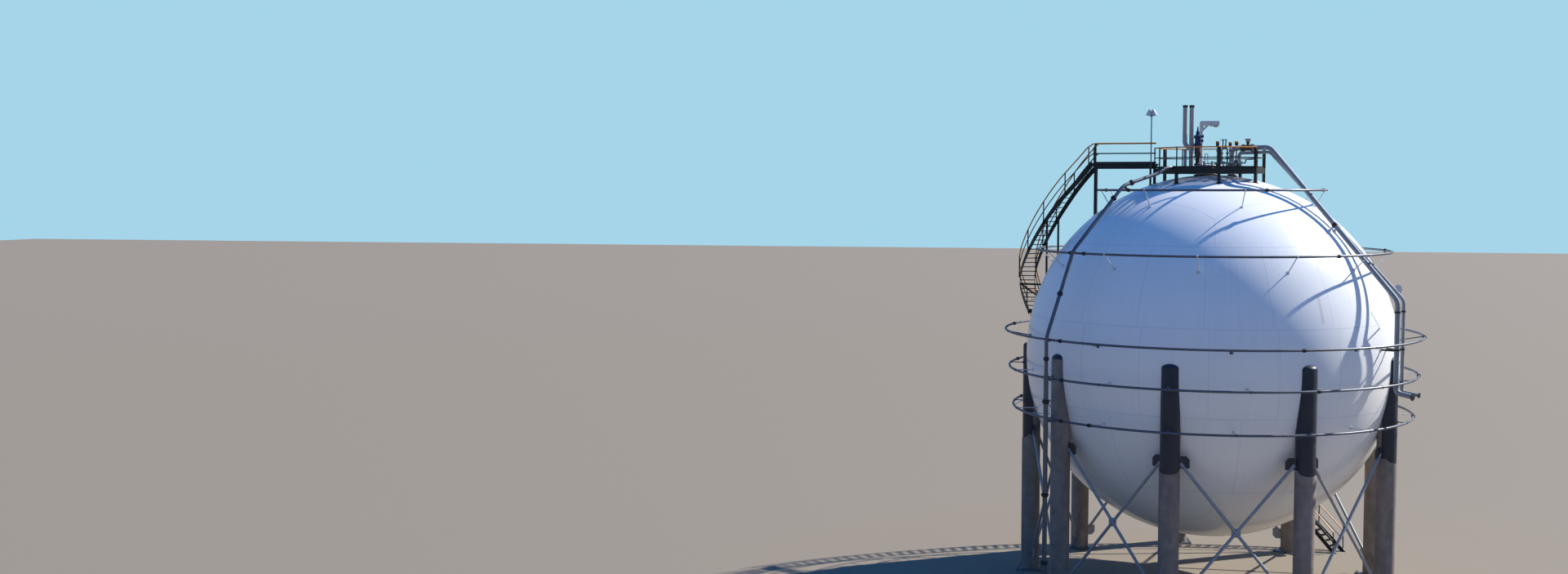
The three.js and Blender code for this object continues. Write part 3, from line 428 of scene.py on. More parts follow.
# Eight anchor bolts round the edge of each base plate, each a washer, a nut and a stud
bolts = []
for x in (-BOLT_PITCH, 0, BOLT_PITCH):
    for y in (-BOLT_PITCH, 0, BOLT_PITCH):
        if x or y:
            spot = foot + Vector((x, y, PLATE_THICKNESS))
            washer_and_stud = [(0.055, 0), (0.055, 0.01), (0.021, 0.01), (0.021, 0.11), (0.017, 0.115)]
            bolts.append(turned(washer_and_stud, spot, 16))
            bolts.append(turned([(0.042, 0.01), (0.042, 0.05), (0.036, 0.056)], spot, 6))
base = joined([plate] + bolts)
painted(galvanised, base)
for bared, coat_top in ((False, FULL_COAT_TOP), (True, BARED_COAT_TOP)):
    stub = turned([(STUB_RADIUS, STUB_BOTTOM)] + dome, at(0, LEG_CIRCLE, 0), 64)
    top = CENTRE.z + coat_top
    coat_profile = [
        (COLUMN_RADIUS, PLATE_THICKNESS),
        (COLUMN_RADIUS, top - 0.03),
        (COLUMN_RADIUS - 0.008, top - 0.006),
        (COLUMN_RADIUS - 0.02, top),
    ]
    coat = turned(coat_profile, foot, 64)
    if bared:
        # The coat stops outside in a rounded lip and carries on up the tube's inner third
        lip = added(
            bpy.ops.mesh.primitive_uv_sphere_add, segments=48, ring_count=24, radius=1,
            scale=LIP_SIZE, location=at(0, LEG_CIRCLE + LIP_OUT, BARED_FROM),
        )
        opening = block(at(0, LEG_CIRCLE + BARED_OUT, BARED_FROM + BARED_BOX.z / 2), BARED_BOX)
        for cutter in (lip, opening):
            cut(coat, cutter)
            scrap(cutter)
    painted(slate_paint, stub)
    painted(cement_coat, coat)
    for piece in (stub, coat):
        cut(piece, ball)
    leg = joined([stub, coat, placed(base, Matrix())])
    smoothed(leg)
    for number, azimuth in enumerate(LEG_AZIMUTHS, 1):
        if bared != (number == FULLY_COATED_LEG):
            mount(swung(leg, azimuth), f"leg_tube_{number}", f"leg_{number}")
    scrap(leg)
scrap(base, ball)

# Braces
# A crossed pair of galvanised tubes in each bay between two legs, flattened at the ends and bolted to
# gusset plates on the tubes, with a plate where they cross. The upper gussets are painted with the leg.
BRACE_TOP = -4.13
BRACE_BOTTOM = 0.96 - CENTRE.z
BRACE_RADIUS = 0.074
TUBE_INSET = 0.34
GUSSET = (0.5, 0.024, 0.56)
GUSSET_AT = 0.21
GUSSET_CORNER = (0.38, 0.2)
FLAT_END, FLAT_AT = (0.34, 0.07, 0.15), 0.22
BRACE_BOLTS = (0.14, 0.24)
CROSS_PLATE = (0.42, 0.024, 0.42)
BROKEN_EDGE = math.radians(50)

# Zinc on the braces, more matt than on the pipes and drawn paler. The paleness is painted sunlight: a lit
# copy of the pipes' zinc. Faint flow marks about 150 mm across
painted_sunlit_zinc = mottled(
    "hot_dip_galvanised_tube_painted_sunlit", 7, 4, "#7e858d", "#a9afb5", 0.001, Metallic=0.35, Roughness=0.5
)


near_leg = at(0, LEG_CIRCLE, 0)
far_leg = at(LEG_PITCH, LEG_CIRCLE, 0)
bay = (far_leg - near_leg).normalized()
across = Vector((-bay.y, bay.x, 0))
span = (far_leg - near_leg).length - 2 * STUB_RADIUS
crossing = near_leg + bay * (STUB_RADIUS + span / 2) + up((BRACE_TOP + BRACE_BOTTOM) / 2)
pieces = painted(painted_sunlit_zinc, block(crossing, CROSS_PLATE, bay))
for start, way in ((near_leg, 1), (far_leg, -1)):
    face = start + bay * way * STUB_RADIUS
    high = face + up(BRACE_TOP)
    low = face + bay * way * span + up(BRACE_BOTTOM)
    run = (low - high).normalized()
    pieces += painted(painted_sunlit_zinc, rod(high + run * TUBE_INSET, low - run * TUBE_INSET, BRACE_RADIUS, 24))
    for end, inward, side, rise, finish in (
        (high, run, way, 1, slate_paint),
        (low, -run, -way, -1, painted_sunlit_zinc),
    ):
        plate = block(end + bay * side * GUSSET_AT, GUSSET, bay)
        corner = end + bay * side * GUSSET_CORNER[0] + up(rise * GUSSET_CORNER[1])
        trimmed(plate, corner, bay * side + up(rise))
        pieces += painted(finish, plate)
        # A ring where the tube flattens, its flat end, and two bolts through the gusset
        flattened = block(end + inward * FLAT_AT, FLAT_END, run)
        bolts = [drum(end + inward * step, across, 0.06, 0.06, 0.026, 6) for step in BRACE_BOLTS]
        shoulder = drum(end, inward, -0.3, 0.36, BRACE_RADIUS * 1.12, 24)
        pieces += painted(painted_sunlit_zinc, shoulder, flattened, *bolts)
brace = joined(pieces)
finished(brace, "BEVEL", width=0.003, segments=1, limit_method="ANGLE", angle_limit=BROKEN_EDGE)
smoothed(brace)
for number, azimuth in enumerate(LEG_AZIMUTHS, 1):
    mount(swung(brace, azimuth), f"brace_pair_{number}", f"brace_{number}")
scrap(brace)

# Spray rings
# Galvanised pipes bent into rings round the shell, 114 mm across, made up of lengths that meet in bolted
# collars. The upper three stand on struts with pads welded to the shell, the lower two on the legs and,
# midway between them, on lighter struts.
SPRAY_RADIUS = 0.057
STRUT_RADIUS = 0.026
LIGHT_STRUT_RADIUS = 0.024
# Each ring: its radius and height as shares of the shell's, the latitude of its pads where they are on the
# shell, and the azimuths of its struts, light struts and collars
SPRAY_RINGS = (
    (
        0.61, 0.917, 56, (-163.5, -113.5, -73.5, -33.5, 16.5, 76.5, 116.5, 156.5), (),
        (27.5, -44, -108, 100, 160, -166),
    ),
    (0.948, 0.586, 30.333, [-153.5 + 30 * k for k in range(12)], (), (-48.5, -42, 41.5, 100, 160, -120)),
    (1.118, 0.136, 6.5, [a + 6.5 for a in NINE_ROUND], (), (-41.5, 24, 84, 150, -150, -100)),
    (1.095, -0.071, None, LEG_AZIMUTHS, [a - 29 for a in NINE_ROUND], (-42, 29, 84, 150, -150, -100)),
    (1.072, -0.29, None, LEG_AZIMUTHS, [a - 32.3 for a in NINE_ROUND], (-43.5, -33, 84, 150, -150, -100)),
)

# Cast iron collar, painted black and weathered to a dull dark brown-grey. Its sand-cast grains of 2 mm are
# drawn at 20 mm
cast_iron = mottled("painted_cast_iron", 50, 4, "#16181c", "#332f2d", 0.002, Roughness=0.6)

# White alkyd enamel brushed on struts and fittings: semi-gloss, greyer where dust has washed down in patches
# about 250 mm across
white_enamel = mottled("alkyd_enamel_white_on_fittings", 4, 5, "#b9bdc0", "#e6e8e8", 0.001, Roughness=0.4)


def collar(spot, step, radius, sides=20):
    """Bolted cast collar round a pipe: a sleeve with a flange round its middle"""
    sleeve = drum(spot, step, 0.1, 0.1, radius * 1.3, sides)
    return painted(cast_iron, sleeve, drum(spot, step, 0.028, 0.028, radius * 1.65, sides))


for number, (radius, height, feet, struts, bay_struts, collars) in enumerate(SPRAY_RINGS, 1):
    radius, height = radius * RADIUS, height * RADIUS
    pipe = added(
        bpy.ops.mesh.primitive_torus_add, major_segments=180, minor_segments=16, major_radius=radius,
        minor_radius=SPRAY_RADIUS, location=at(0, 0, height),
    )
    supports = []
    for azimuth in struts:
        end = at(azimuth, radius, height)
        if feet is None:
            pad = at(azimuth, LEG_CIRCLE + STUB_RADIUS - 0.004, height)
            out = (at(azimuth, 1, 0) - CENTRE).normalized()
        else:
            latitude = math.radians(feet)
            pad = at(azimuth, RADIUS * math.cos(latitude), RADIUS * math.sin(latitude))
            out = (pad - CENTRE).normalized()
        supports.append(rod(end, pad, STRUT_RADIUS, 16))
        supports.append(drum(pad, out, 0.01, 0.016, 0.09, 24))
        supports.append(drum(pad, out, -0.01, 0.05, STRUT_RADIUS * 1.5, 16))
        supports.append(drum(end, around_axis(azimuth), 0.035, 0.035, SPRAY_RADIUS + 0.01, 20))
    light_struts = []
    for azimuth in bay_struts:
        # Between the legs a white strut reaches the shell
        end, pad = at(azimuth, radius, height), at(azimuth, math.sqrt(RADIUS ** 2 - height ** 2), height)
        out = (pad - CENTRE).normalized()
        light_struts.append(rod(end, pad, LIGHT_STRUT_RADIUS, 12))
        light_struts.append(drum(pad, out, 0.01, 0.016, 0.08, 20))
        supports.append(drum(end, around_axis(azimuth), 0.04, 0.04, SPRAY_RADIUS + 0.014, 20))
    if number == 5:
        # Two light ties, one to the first leg's side and one that steadies the pipe under the second
        for ring_azimuth, leg_azimuth in ((-78, -88), (-62, -53)):
            end = at(leg_azimuth, LEG_CIRCLE + 0.35, height + 0.1)
            light_struts.append(rod(at(ring_azimuth, radius, height), end, 0.02, 12))
    pieces = painted(galvanised, pipe) + painted(white_enamel if number < 3 else galvanised, *supports)
    pieces += painted(white_enamel, *light_struts)
    for azimuth in collars:
        pieces += collar(at(azimuth, radius, height), around_axis(azimuth), SPRAY_RADIUS)
    assembled(pieces, f"water_ring_{number}", f"spray_ring_{number}")

# Riser
# One galvanised main from the ground to the crown, outside the rings: 230 mm across below, 176 mm above, with
# a tee into each ring, bolted collars between its lengths and a light bracket to the second leg.
RISER_AZIMUTH = -45.2
RISER_RADIUS = 0.088
RISER_LOWER = 0.115
RISER_STEP = -0.44
RISER_STAND = 1.148 * RADIUS
RISER_BEND = 0.26
RISER_BRACKET = -1.7
TEE_RADIUS = 0.064
UP = up(1)


def rounded(path, bend, steps=8):
    """Path with each corner replaced by a bend that starts at a distance from it"""
    out = [path[0]]
    for before, corner, after in zip(path, path[1:], path[2:]):
        a = corner + (before - corner).normalized() * bend
        b = corner + (after - corner).normalized() * bend
        for i in range(steps + 1):
            t = i / steps
            out.append(a * (1 - t) ** 2 + corner * 2 * t * (1 - t) + b * t * t)
    return out + [path[-1]]


def spline_of(path):
    curve = bpy.data.curves.new("run", "CURVE")
    curve.dimensions = "3D"
    curve.use_fill_caps = True
    spline = curve.splines.new("POLY")
    spline.points.add(len(path) - 1)
    for spot, p in zip(spline.points, path):
        spot.co = (*p, 1)
    return curve


def made_mesh(curve):
    """The curve's object as a closed mesh"""
    run = bpy.data.objects.new("run", curve)
    bpy.context.collection.objects.link(run)
    only(run)
    bpy.ops.object.convert(target="MESH")
    run = bpy.context.object
    bpy.ops.object.mode_set(mode="EDIT")
    bpy.ops.mesh.select_all(action="SELECT")
    bpy.ops.mesh.remove_doubles(threshold=0.0002)
    bpy.ops.mesh.normals_make_consistent(inside=False)
    bpy.ops.object.mode_set(mode="OBJECT")
    return run


def pipe_run(path, radius, fineness=4):
    curve = spline_of(path)
    curve.bevel_depth = radius
    curve.bevel_resolution = fineness
    return made_mesh(curve)


riser_out = (at(RISER_AZIMUTH, 1, 0) - CENTRE).normalized()
riser_foot = at(RISER_AZIMUTH, RISER_STAND, 0.03 - CENTRE.z)
riser_step = at(RISER_AZIMUTH, RISER_STAND, RISER_STEP)
riser_line = [riser_foot, at(RISER_AZIMUTH, RISER_STAND, 0.15 * RADIUS)]
# From the bend over the third ring it climbs close to the shell and ends over the crown
for radius, height in (
    (0.974, 0.602), (0.634, 0.942), (0.5, 0.978), (0.375, 1.012), (0.335, 1.0395), (0.2, 1.0395)
):
    riser_line.append(at(RISER_AZIMUTH, radius * RADIUS, height * RADIUS))
pieces = [
    pipe_run(rounded(riser_line, RISER_BEND), RISER_RADIUS, fineness=6),
    rod(riser_foot, riser_step, RISER_LOWER, 32),
    drum(riser_step, UP, 0.03, 0.12, RISER_RADIUS * 1.16, 32),
    block(at(RISER_AZIMUTH, RISER_STAND, 0.015 - CENTRE.z), (0.42, 0.42, 0.03), riser_out),
]
for radius, height, *_ in SPRAY_RINGS:
    inner = at(RISER_AZIMUTH, radius * RADIUS, height * RADIUS)
    outer = at(RISER_AZIMUTH, RISER_STAND, height * RADIUS)
    if radius < 1:
        outer = CENTRE + (inner - CENTRE) * (1 + 0.19 / (inner - CENTRE).length)
    pieces.append(rod(inner, outer, TEE_RADIUS, 20))
    pieces.append(rod(inner.lerp(outer, 0.3), inner.lerp(outer, 0.5), TEE_RADIUS + 0.014, 20))
for side in (1, -1):
    pieces.append(drum(riser_foot + Vector((0.16, 0.16, 0)) * side, UP, 0.02, 0.08, 0.022, 6))
painted(galvanised, *pieces)
bracket_from = at(RISER_AZIMUTH, RISER_STAND - 0.05, RISER_BRACKET)
leg_side = at(LEG_AZIMUTHS[1], LEG_CIRCLE + 0.1, RISER_BRACKET)
# The bracket's rods use the braces' zinc, which is drawn paler as painted sunlight
pieces += painted(painted_sunlit_zinc, rod(bracket_from, leg_side, 0.03), rod(bracket_from, leg_side - UP, 0.024))
for height, radius in (
    (-9.5, RISER_LOWER), (-6.2, RISER_LOWER), (RISER_BRACKET, RISER_LOWER), (0.35, RISER_RADIUS)
):
    pieces += collar(at(RISER_AZIMUTH, RISER_STAND, height), UP, radius, 28)
for k, share in ((1, 0.5), (2, 0.8), (3, 0.42)):
    a, b = riser_line[k:k + 2]
    pieces += collar(a.lerp(b, share), (b - a).normalized(), RISER_RADIUS, 28)
assembled(pieces, "water_main", "spray_riser")

# Platform frame
# An octagon of painted steel channel on eight square posts whose feet are welded to the crown, with two
# joists under the floor.
DECK_HEIGHT = 1.036 * RADIUS
DECK_RADIUS = 0.304 * RADIUS
DECK_TURN = 10
DECK_SHIFT = Vector((-0.01 * RADIUS, 0, 0))
BEAM_WIDTH = 0.1
BEAM_DEPTH = 0.256
JOIST = (0.16, 0.07)
JOIST_AT = 1.1
POST = 0.13
LEVEL = Vector((1, 1, 0))

# Alkyd paint on rolled steel, near black with a green cast: satin, with weather patches about 250 mm across
black_paint = mottled("alkyd_satin_black_on_steel", 4, 5, "#080d0d", "#141a1a", 0.0015, Roughness=0.55)


def octagon(radius, height):
    return [at(DECK_TURN + 45 * k, radius, height) + DECK_SHIFT for k in range(8)]


def crown_at(spot):
    """Height of the shell over the ground below or above a spot"""
    x, y = spot.x - CENTRE.x, spot.y - CENTRE.y
    return CENTRE.z + math.sqrt(RADIUS ** 2 - x * x - y * y)


def shell_post(spot, top, size, heading=(1, 0, 0)):
    """Square post on a foot plate that lies on the shell"""
    base = crown_at(spot)
    foot_at = Vector((spot.x, spot.y, base))
    normal = (foot_at - CENTRE).normalized()
    post = block(Vector((spot.x, spot.y, (top + base) / 2)), (size, size, top - base), heading)
    return [post, drum(foot_at, normal, 0.03, 0.018, size * 1.3, 4)]


def sides_of(corners):
    """Each side of a level outline: its two ends and the way inwards from it"""
    middle = sum(corners, Vector()) / len(corners)
    for a, b in zip(corners, corners[1:] + corners[:1]):
        inward = Vector((b.y - a.y, a.x - b.x, 0)).normalized()
        yield a, b, inward if inward.dot(middle - a) > 0 else -inward


def channel(a, b, depth, flange, side, web=0.012):
    """Rolled channel between two points on its top edge, its flanges turned towards side"""
    along = b - a
    sideways = Vector(side).normalized()
    middle = (a + b) / 2 + up(-depth / 2)
    parts = [block(middle, (along.length, web, depth), along)]
    for end in (-1, 1):
        at_flange = middle + sideways * flange / 2 + up(end * (depth - web) / 2)
        parts.append(block(at_flange, (along.length, flange, web), along))
    return parts


def steelwork(pieces):
    """Members joined, their edges broken, and painted"""
    whole = joined(pieces)
    finished(whole, "BEVEL", width=0.004, segments=1, limit_method="ANGLE", angle_limit=BROKEN_EDGE)
    return painted(black_paint, whole)


pieces = []
for a, b, inward in sides_of(octagon(DECK_RADIUS - 0.006, DECK_HEIGHT)):
    pieces += channel(a, b, BEAM_DEPTH, BEAM_WIDTH, inward)
for y in (-JOIST_AT, JOIST_AT):
    reach = Vector((math.sqrt((DECK_RADIUS - BEAM_WIDTH) ** 2 - y * y) - 0.12, 0, 0))
    joist_at = CENTRE + DECK_SHIFT + Vector((0, y, DECK_HEIGHT - 0.033))
    pieces += channel(joist_at - reach, joist_at + reach, *JOIST, (0, 1, 0))
for spot in octagon(DECK_RADIUS - POST / 2, DECK_HEIGHT):
    pieces += shell_post(spot, spot.z - 0.004, POST, (spot - CENTRE - DECK_SHIFT) * LEVEL)
assembled(steelwork(pieces), "octagon_beams", "platform_frame", 30)

# Platform floor
# Welded grating: flat bars on edge 40 mm apart, tied by rods every 100 mm and banded at the rim. It is
# galvanised.
FLOOR_DEPTH = 0.03
BAR = 0.006
BAR_PITCH = 0.04
TIE = 0.01
TIE_PITCH = 0.1


def grating(corners, top, across_x):
    """Bars and tie rods over the box round some corners, trimmed to the straight lines between the corners"""
    low = [min(c[i] for c in corners) for i in (0, 1)]
    high = [max(c[i] for c in corners) for i in (0, 1)]
    bars = []
    for along, pitch, width, depth, drop in (
        (int(across_x), BAR_PITCH, BAR, FLOOR_DEPTH, 0),
        (int(not across_x), TIE_PITCH, TIE, TIE, 0.002),
    ):
        step = 1 - along
        centre, shift, heading = [0, 0, top - drop - depth / 2], [0, 0, 0], [0, 0, 0]
        centre[along] = (high[along] + low[along]) / 2
        centre[step] = low[step] + pitch / 2
        shift[step] = pitch
        heading[along] = 1
        bar = block(centre, (high[along] - low[along], width, depth), heading)
        finished(
            bar, "ARRAY", count=int((high[step] - low[step]) / pitch), use_relative_offset=False,
            use_constant_offset=True, constant_offset_displace=shift,
        )
        bars.append(bar)
    mesh = joined(bars)
    for a, b, inward in sides_of(corners):
        trimmed(mesh, a + inward * BAR / 2, -inward)
        # Banding bar along the edge
        edge = Vector((*((a + b) / 2 + inward * BAR).xy, top - FLOOR_DEPTH / 2))
        mesh = joined([mesh, block(edge, ((b - a).length - 2 * BAR, BAR, FLOOR_DEPTH), b - a)])
    return painted(galvanised, mesh)


floor_edge = octagon(DECK_RADIUS - BEAM_WIDTH / math.cos(math.pi / 8) - 0.004, DECK_HEIGHT)
floor_bars, = grating(floor_edge, CENTRE.z + DECK_HEIGHT, False)
mount(floor_bars, "floor_grating", "platform_deck")

# Platform rail
# A guard rail round the floor: a yellow pipe on top, a black pipe at knee height and black posts, stout where
# the frame's corner posts carry on up. It stays open towards the walkway.
RAIL_HEIGHT = 1.07
RAIL_RADIUS = 0.032
MID_RAIL = 0.53
MID_RAIL_RADIUS = 0.026
RAIL_POST_RADIUS = 0.031
STOUT_POST = 0.14
TOE_BOARD = (0.006, 0.1)

# Safety yellow alkyd enamel, brushed: glossy, deeper orange where it has faded, in patches about 200 mm long
yellow_paint = mottled("alkyd_enamel_safety_yellow", 5, 4, "#b8690c", "#dd9626", Roughness=0.38)


def guard(path, posts, foot=0.0, stout=()):
    """Guard rail along a path at walking level, on round posts and square stout ones"""
    top_rail = pipe_run([p + up(RAIL_HEIGHT - RAIL_RADIUS) for p in path], RAIL_RADIUS, fineness=3)
    mid_rail = pipe_run([p + up(MID_RAIL) for p in path], MID_RAIL_RADIUS, fineness=3)
    rails = painted(yellow_paint, top_rail) + painted(black_paint, mid_rail)
    for spot in posts:
        post = rod(spot + up(foot), spot + up(RAIL_HEIGHT - 0.03), RAIL_POST_RADIUS)
        socket = rod(spot + up(foot), spot + up(foot + 0.06), RAIL_POST_RADIUS + 0.011)
        rails += painted(black_paint, post, socket)
    for spot in stout:
        top = RAIL_HEIGHT - 0.04
        size = (STOUT_POST, STOUT_POST, top - foot)
        post = block(spot + up((foot + top) / 2), size, (spot - CENTRE) * LEVEL)
        finished(post, "BEVEL", width=0.008, segments=2)
        rails += painted(black_paint, post)
    return rails


def toe_board(a, b, length, lift=0.05):
    return painted(black_paint, block((a + b) / 2 + up(lift), (length, *TOE_BOARD), b - a))


corners = octagon(DECK_RADIUS - POST / 2, DECK_HEIGHT)
gate_back = corners[6].lerp(corners[5], 0.48)
near_gate = corners[6].lerp(corners[7], 0.22)
rail_line = [gate_back] + [corners[k] for k in (5, 4, 3, 2, 1, 0, 7)] + [near_gate, corners[6]]
round_posts = [gate_back, corners[4], corners[3], corners[7], near_gate, corners[6]]
round_posts += [corners[3].lerp(corners[4], 0.5), corners[4].lerp(corners[5], 0.5)]
pieces = guard(rounded(rail_line, 0.05, 4), round_posts, stout=[corners[k] for k in (5, 2, 1, 0)])
for a, b in zip(rail_line, rail_line[1:]):
    pieces += toe_board(a, b, (b - a).length - 0.07, 0.055)
assembled(pieces, "platform_guard", "platform_rail")

# Walkway
# Two painted channels with a grating between them, from the platform's rim to the head of the stair, on two
# pairs of posts. A rail runs along each side; each has a post at the stair's end only.
WALK = DECK_HEIGHT + 0.2605
WALK_SIDE = 0.4
WALK_END = -0.637 * RADIUS
WALK_NEAR = -0.3265 * RADIUS
WALK_LAP = 0.15
WALK_BEAM = (0.26, 0.075)
WALK_POST_SIDE = 0.36
edge_from, edge_to = octagon(DECK_RADIUS, 0)[6], octagon(DECK_RADIUS, 0)[5]


def walk_start(y):
    """Where the walkway's near end crosses a line along it, y from its middle"""
    share = (CENTRE.y + y - edge_from.y) / (edge_to.y - edge_from.y)
    return edge_from.lerp(edge_to, share).x + WALK_LAP


def over(x, y, height):
    """Point from x and y of the middle of the shell, and height over it"""
    return CENTRE + Vector((x, y, height))


pieces = []
for side in (-1, 1):
    y = side * WALK_SIDE
    near, far = over(walk_start(y) - 0.02, y, WALK), over(WALK_END + 0.002, y, WALK)
    beam = joined(channel(near, far, *WALK_BEAM, (0, -side, 0)))
    # The beam's lower corner is cut away over the platform's rim
    pieces.append(trimmed(beam, near + Vector((-0.3, 0, -0.26)), Vector((1, 0, -1))))
    for x, size in ((WALK_END + 0.095, POST), (WALK_NEAR, 0.08)):
        pieces += shell_post(over(x, side * WALK_POST_SIDE, 0), CENTRE.z + WALK - 0.06, size)
for k in range(6):
    pieces.append(block(over(WALK_END + 0.3 + k * 0.5, 0, WALK - 0.1), (0.05, 0.78, 0.06)))
near_end, floor_side = walk_start(-WALK_SIDE) - 0.06, WALK_SIDE - 0.01
floor_corners = [
    over(near_end, -floor_side, WALK),
    over(walk_start(WALK_SIDE) - 0.06, floor_side, WALK),
    over(WALK_END + 0.01, floor_side, WALK),
    over(WALK_END + 0.01, -floor_side, WALK),
]
pieces = steelwork(pieces) + grating(floor_corners, CENTRE.z + WALK - 0.003, True)
assembled(pieces, "walkway_beams", "walkway", 30)
for name, y in (("front", -WALK_SIDE), ("back", WALK_SIDE)):
    near, far = over(near_end, y, WALK), over(WALK_END + 0.06, y, WALK)
    pieces = guard([near, far], [far]) + toe_board(near, far, (far - near).length)
    assembled(pieces, "walkway_guard_" + name, "walkway_rail_" + name)

# Stair flights
# Three flights of grating treads between painted steel stringers: one curves off the walkway round the upper
# shell, two wind down outside the legs to the ground. Yellow top rails and black mid rails stand on both
# sides.
STAIR_WIDTH = 0.8
STRINGER = (0.024, 0.24)
STRINGER_DROP = 0.09
TREAD_GOING, TREAD_DEPTH = 0.25, 0.036
RISE = 0.25
HELIX = 1.185 * RADIUS
HALF_LANDING = 0.19 * RADIUS
QUARTER_LANDING = -0.46 * RADIUS
UPPER_PLAN = (
    (-0.637, 0), (-0.79, 0.06), (-0.935, 0.185), (-1.03, 0.335),
    (-1.0524, 0.4252), (-1.04, 0.5207), (-1.02, 0.589),
)
PROPPED_STEP = 11
BRACKET_STEP = 25
BRACKET_REACH = 0.95 * RADIUS
HALF_AZIMUTHS = (-120, -124.6)
QUARTER_AZIMUTHS = (-167, -174)
STAIR_FOOT = -221
STAIR_RAIL_SIDE = 0.437
POST_STEPS = 6
LUG = (0.08, 0.02, 0.1)


def flat_run(path, width, depth):
    """Flat bar on edge that follows a path, upright across it and square to its slope"""
    outline = spline_of([(x * width / 2, y * depth / 2, 0) for x, y in ((-1, -1), (1, -1), (1, 1), (-1, 1))])
    outline.dimensions = "2D"
    outline.splines[0].use_cyclic_u = True
    profile = bpy.data.objects.new("profile", outline)
    bpy.context.collection.objects.link(profile)
    curve = spline_of(path)
    curve.twist_mode = "Z_UP"
    curve.bevel_mode = "OBJECT"
    curve.bevel_object = profile
    run = made_mesh(curve)
    scrap(profile)
    return run


def headings(path):
    """Level direction of the path at each of its points"""
    last = len(path) - 1
    steps = [path[min(i + 1, last)] - path[max(i - 1, 0)] for i in range(last + 1)]
    return [Vector((step.x, step.y, 0)).normalized() for step in steps]


def beside(path, by):
    """Path set off sideways, to the right of its run where by is positive"""
    return [p + Vector((h.y, -h.x, 0)) * by for p, h in zip(path, headings(path))]


def evenly(points, count):
    """Points evenly spaced along the smooth curve through plan points"""
    ends = [2 * points[0] - points[1]] + points + [2 * points[-1] - points[-2]]
    fine = []
    for p0, p1, p2, p3 in zip(ends, ends[1:], ends[2:], ends[3:]):
        d0, d1, d2 = [math.sqrt((b - a).length) for a, b in ((p0, p1), (p1, p2), (p2, p3))]
        t1 = ((p1 - p0) / d0 - (p2 - p0) / (d0 + d1) + (p2 - p1) / d1) * d1
        t2 = ((p2 - p1) / d1 - (p3 - p1) / (d1 + d2) + (p3 - p2) / d2) * d1
        for k in range(50):
            t = k / 50
            bend = (-3 * p1 + 3 * p2 - 2 * t1 - t2) * t * t + (2 * p1 - 2 * p2 + t1 + t2) * t ** 3
            fine.append(p1 + t1 * t + bend)
    fine.append(points[-1])
    lengths = [0]
    for a, b in zip(fine, fine[1:]):
        lengths.append(lengths[-1] + (b - a).length)
    out = []
    for i in range(count + 1):
        goal = lengths[-1] * i / count
        k = max(j for j in range(len(lengths) - 1) if lengths[j] <= goal + 1e-9)
        share = (goal - lengths[k]) / (lengths[k + 1] - lengths[k])
        out.append(fine[k].lerp(fine[k + 1], min(share, 1)))
    return out


def helix(azimuths, heights, count):
    """Path down round the shell, outside the legs"""
    shares = [i / count for i in range(count + 1)]
    return [
        at(azimuths[0] + (azimuths[1] - azimuths[0]) * s, HELIX, heights[0] + (heights[1] - heights[0]) * s)
        for s in shares
    ]


def bracket(azimuth, middle, reach, top, width, depth, knee):
    """Radial beam that carries the stair, from its outer edge in to the reach, with a knee brace below"""
    far = at(azimuth, middle + STAIR_WIDTH / 2, top - depth / 2)
    near = at(azimuth, reach, top - depth / 2)
    beam = block((far + near) / 2, ((far - near).length, width, depth), far - near)
    brace = rod(at(azimuth, middle + knee, top - depth / 2), at(azimuth, reach, top - 1.3), width / 2)
    return [beam, brace]


# One tread: a nosing, a rear bar, four bars between them and a plate at each end
bars = [(0.11, 0.03, TREAD_DEPTH), (-0.12, BAR, TREAD_DEPTH)]
bars += [(x, BAR, FLOOR_DEPTH) for x in (0.072, 0.026, -0.024, -0.073)]
parts = [block((x, 0, -depth / 2), (width, STAIR_WIDTH - STRINGER[0], depth)) for x, width, depth in bars]
for y in (-0.385, 0.385):
    parts.append(block((0, y, -TREAD_DEPTH / 2), (TREAD_GOING, BAR, TREAD_DEPTH)))
tread = joined(parts)


def flight(path, posts, extra=()):
    """Treads on two stringers, with a lug beside each rail post, down a path at walking level"""
    first = path[0] + (path[0] - path[1]) * 0.5
    last = path[-1] + (path[-1] - path[-2]) * 0.5
    line = [p - up(STRINGER_DROP) for p in [first] + path + [last]]
    pieces = [flat_run(beside(line, side * STAIR_WIDTH / 2), *STRINGER) for side in (-1, 1)]
    for p, h in list(zip(path, headings(path)))[1:-1]:
        turn = Matrix(((h.x, -h.y, 0), (h.y, h.x, 0), (0, 0, 1))).to_4x4()
        pieces.append(placed(tread, Matrix.Translation(p) @ turn))
    for side, spots in posts.items():
        for spot, h in spots:
            inward = Vector((h.y, -h.x, 0)) * -side
            lug_at = spot + inward * (STAIR_RAIL_SIDE - STAIR_WIDTH / 2) - up(0.09)
            pieces.append(block(lug_at, LUG, h))
    return painted(black_paint, joined(pieces + list(extra)))[0]


def stair_rails(path, level):
    """Both rails of a flight, on posts at every sixth step; returns where the posts stand on each side"""
    posts = {}
    ways = headings(path)
    last = len(path) - 1
    stands = list(range(1, last + 1, POST_STEPS))
    if last - stands[-1] < POST_STEPS / 2:
        stands.pop()
    stands.append(last)
    for side, word in ((-1, "outer"), (1, "inner")):
        line = beside(path, side * STAIR_RAIL_SIDE)
        posts[side] = [(line[i], ways[i]) for i in stands]
        pieces = guard(line, [line[i] for i in stands], -0.1)
        assembled(pieces, level + "_guard_" + word, "stair_" + level + "_rail_" + word)
    return posts


def stair_mount(flight_piece, level):
    smoothed(flight_piece, 30)
    mount(flight_piece, level + "_steps", "stair_" + level + "_flight")


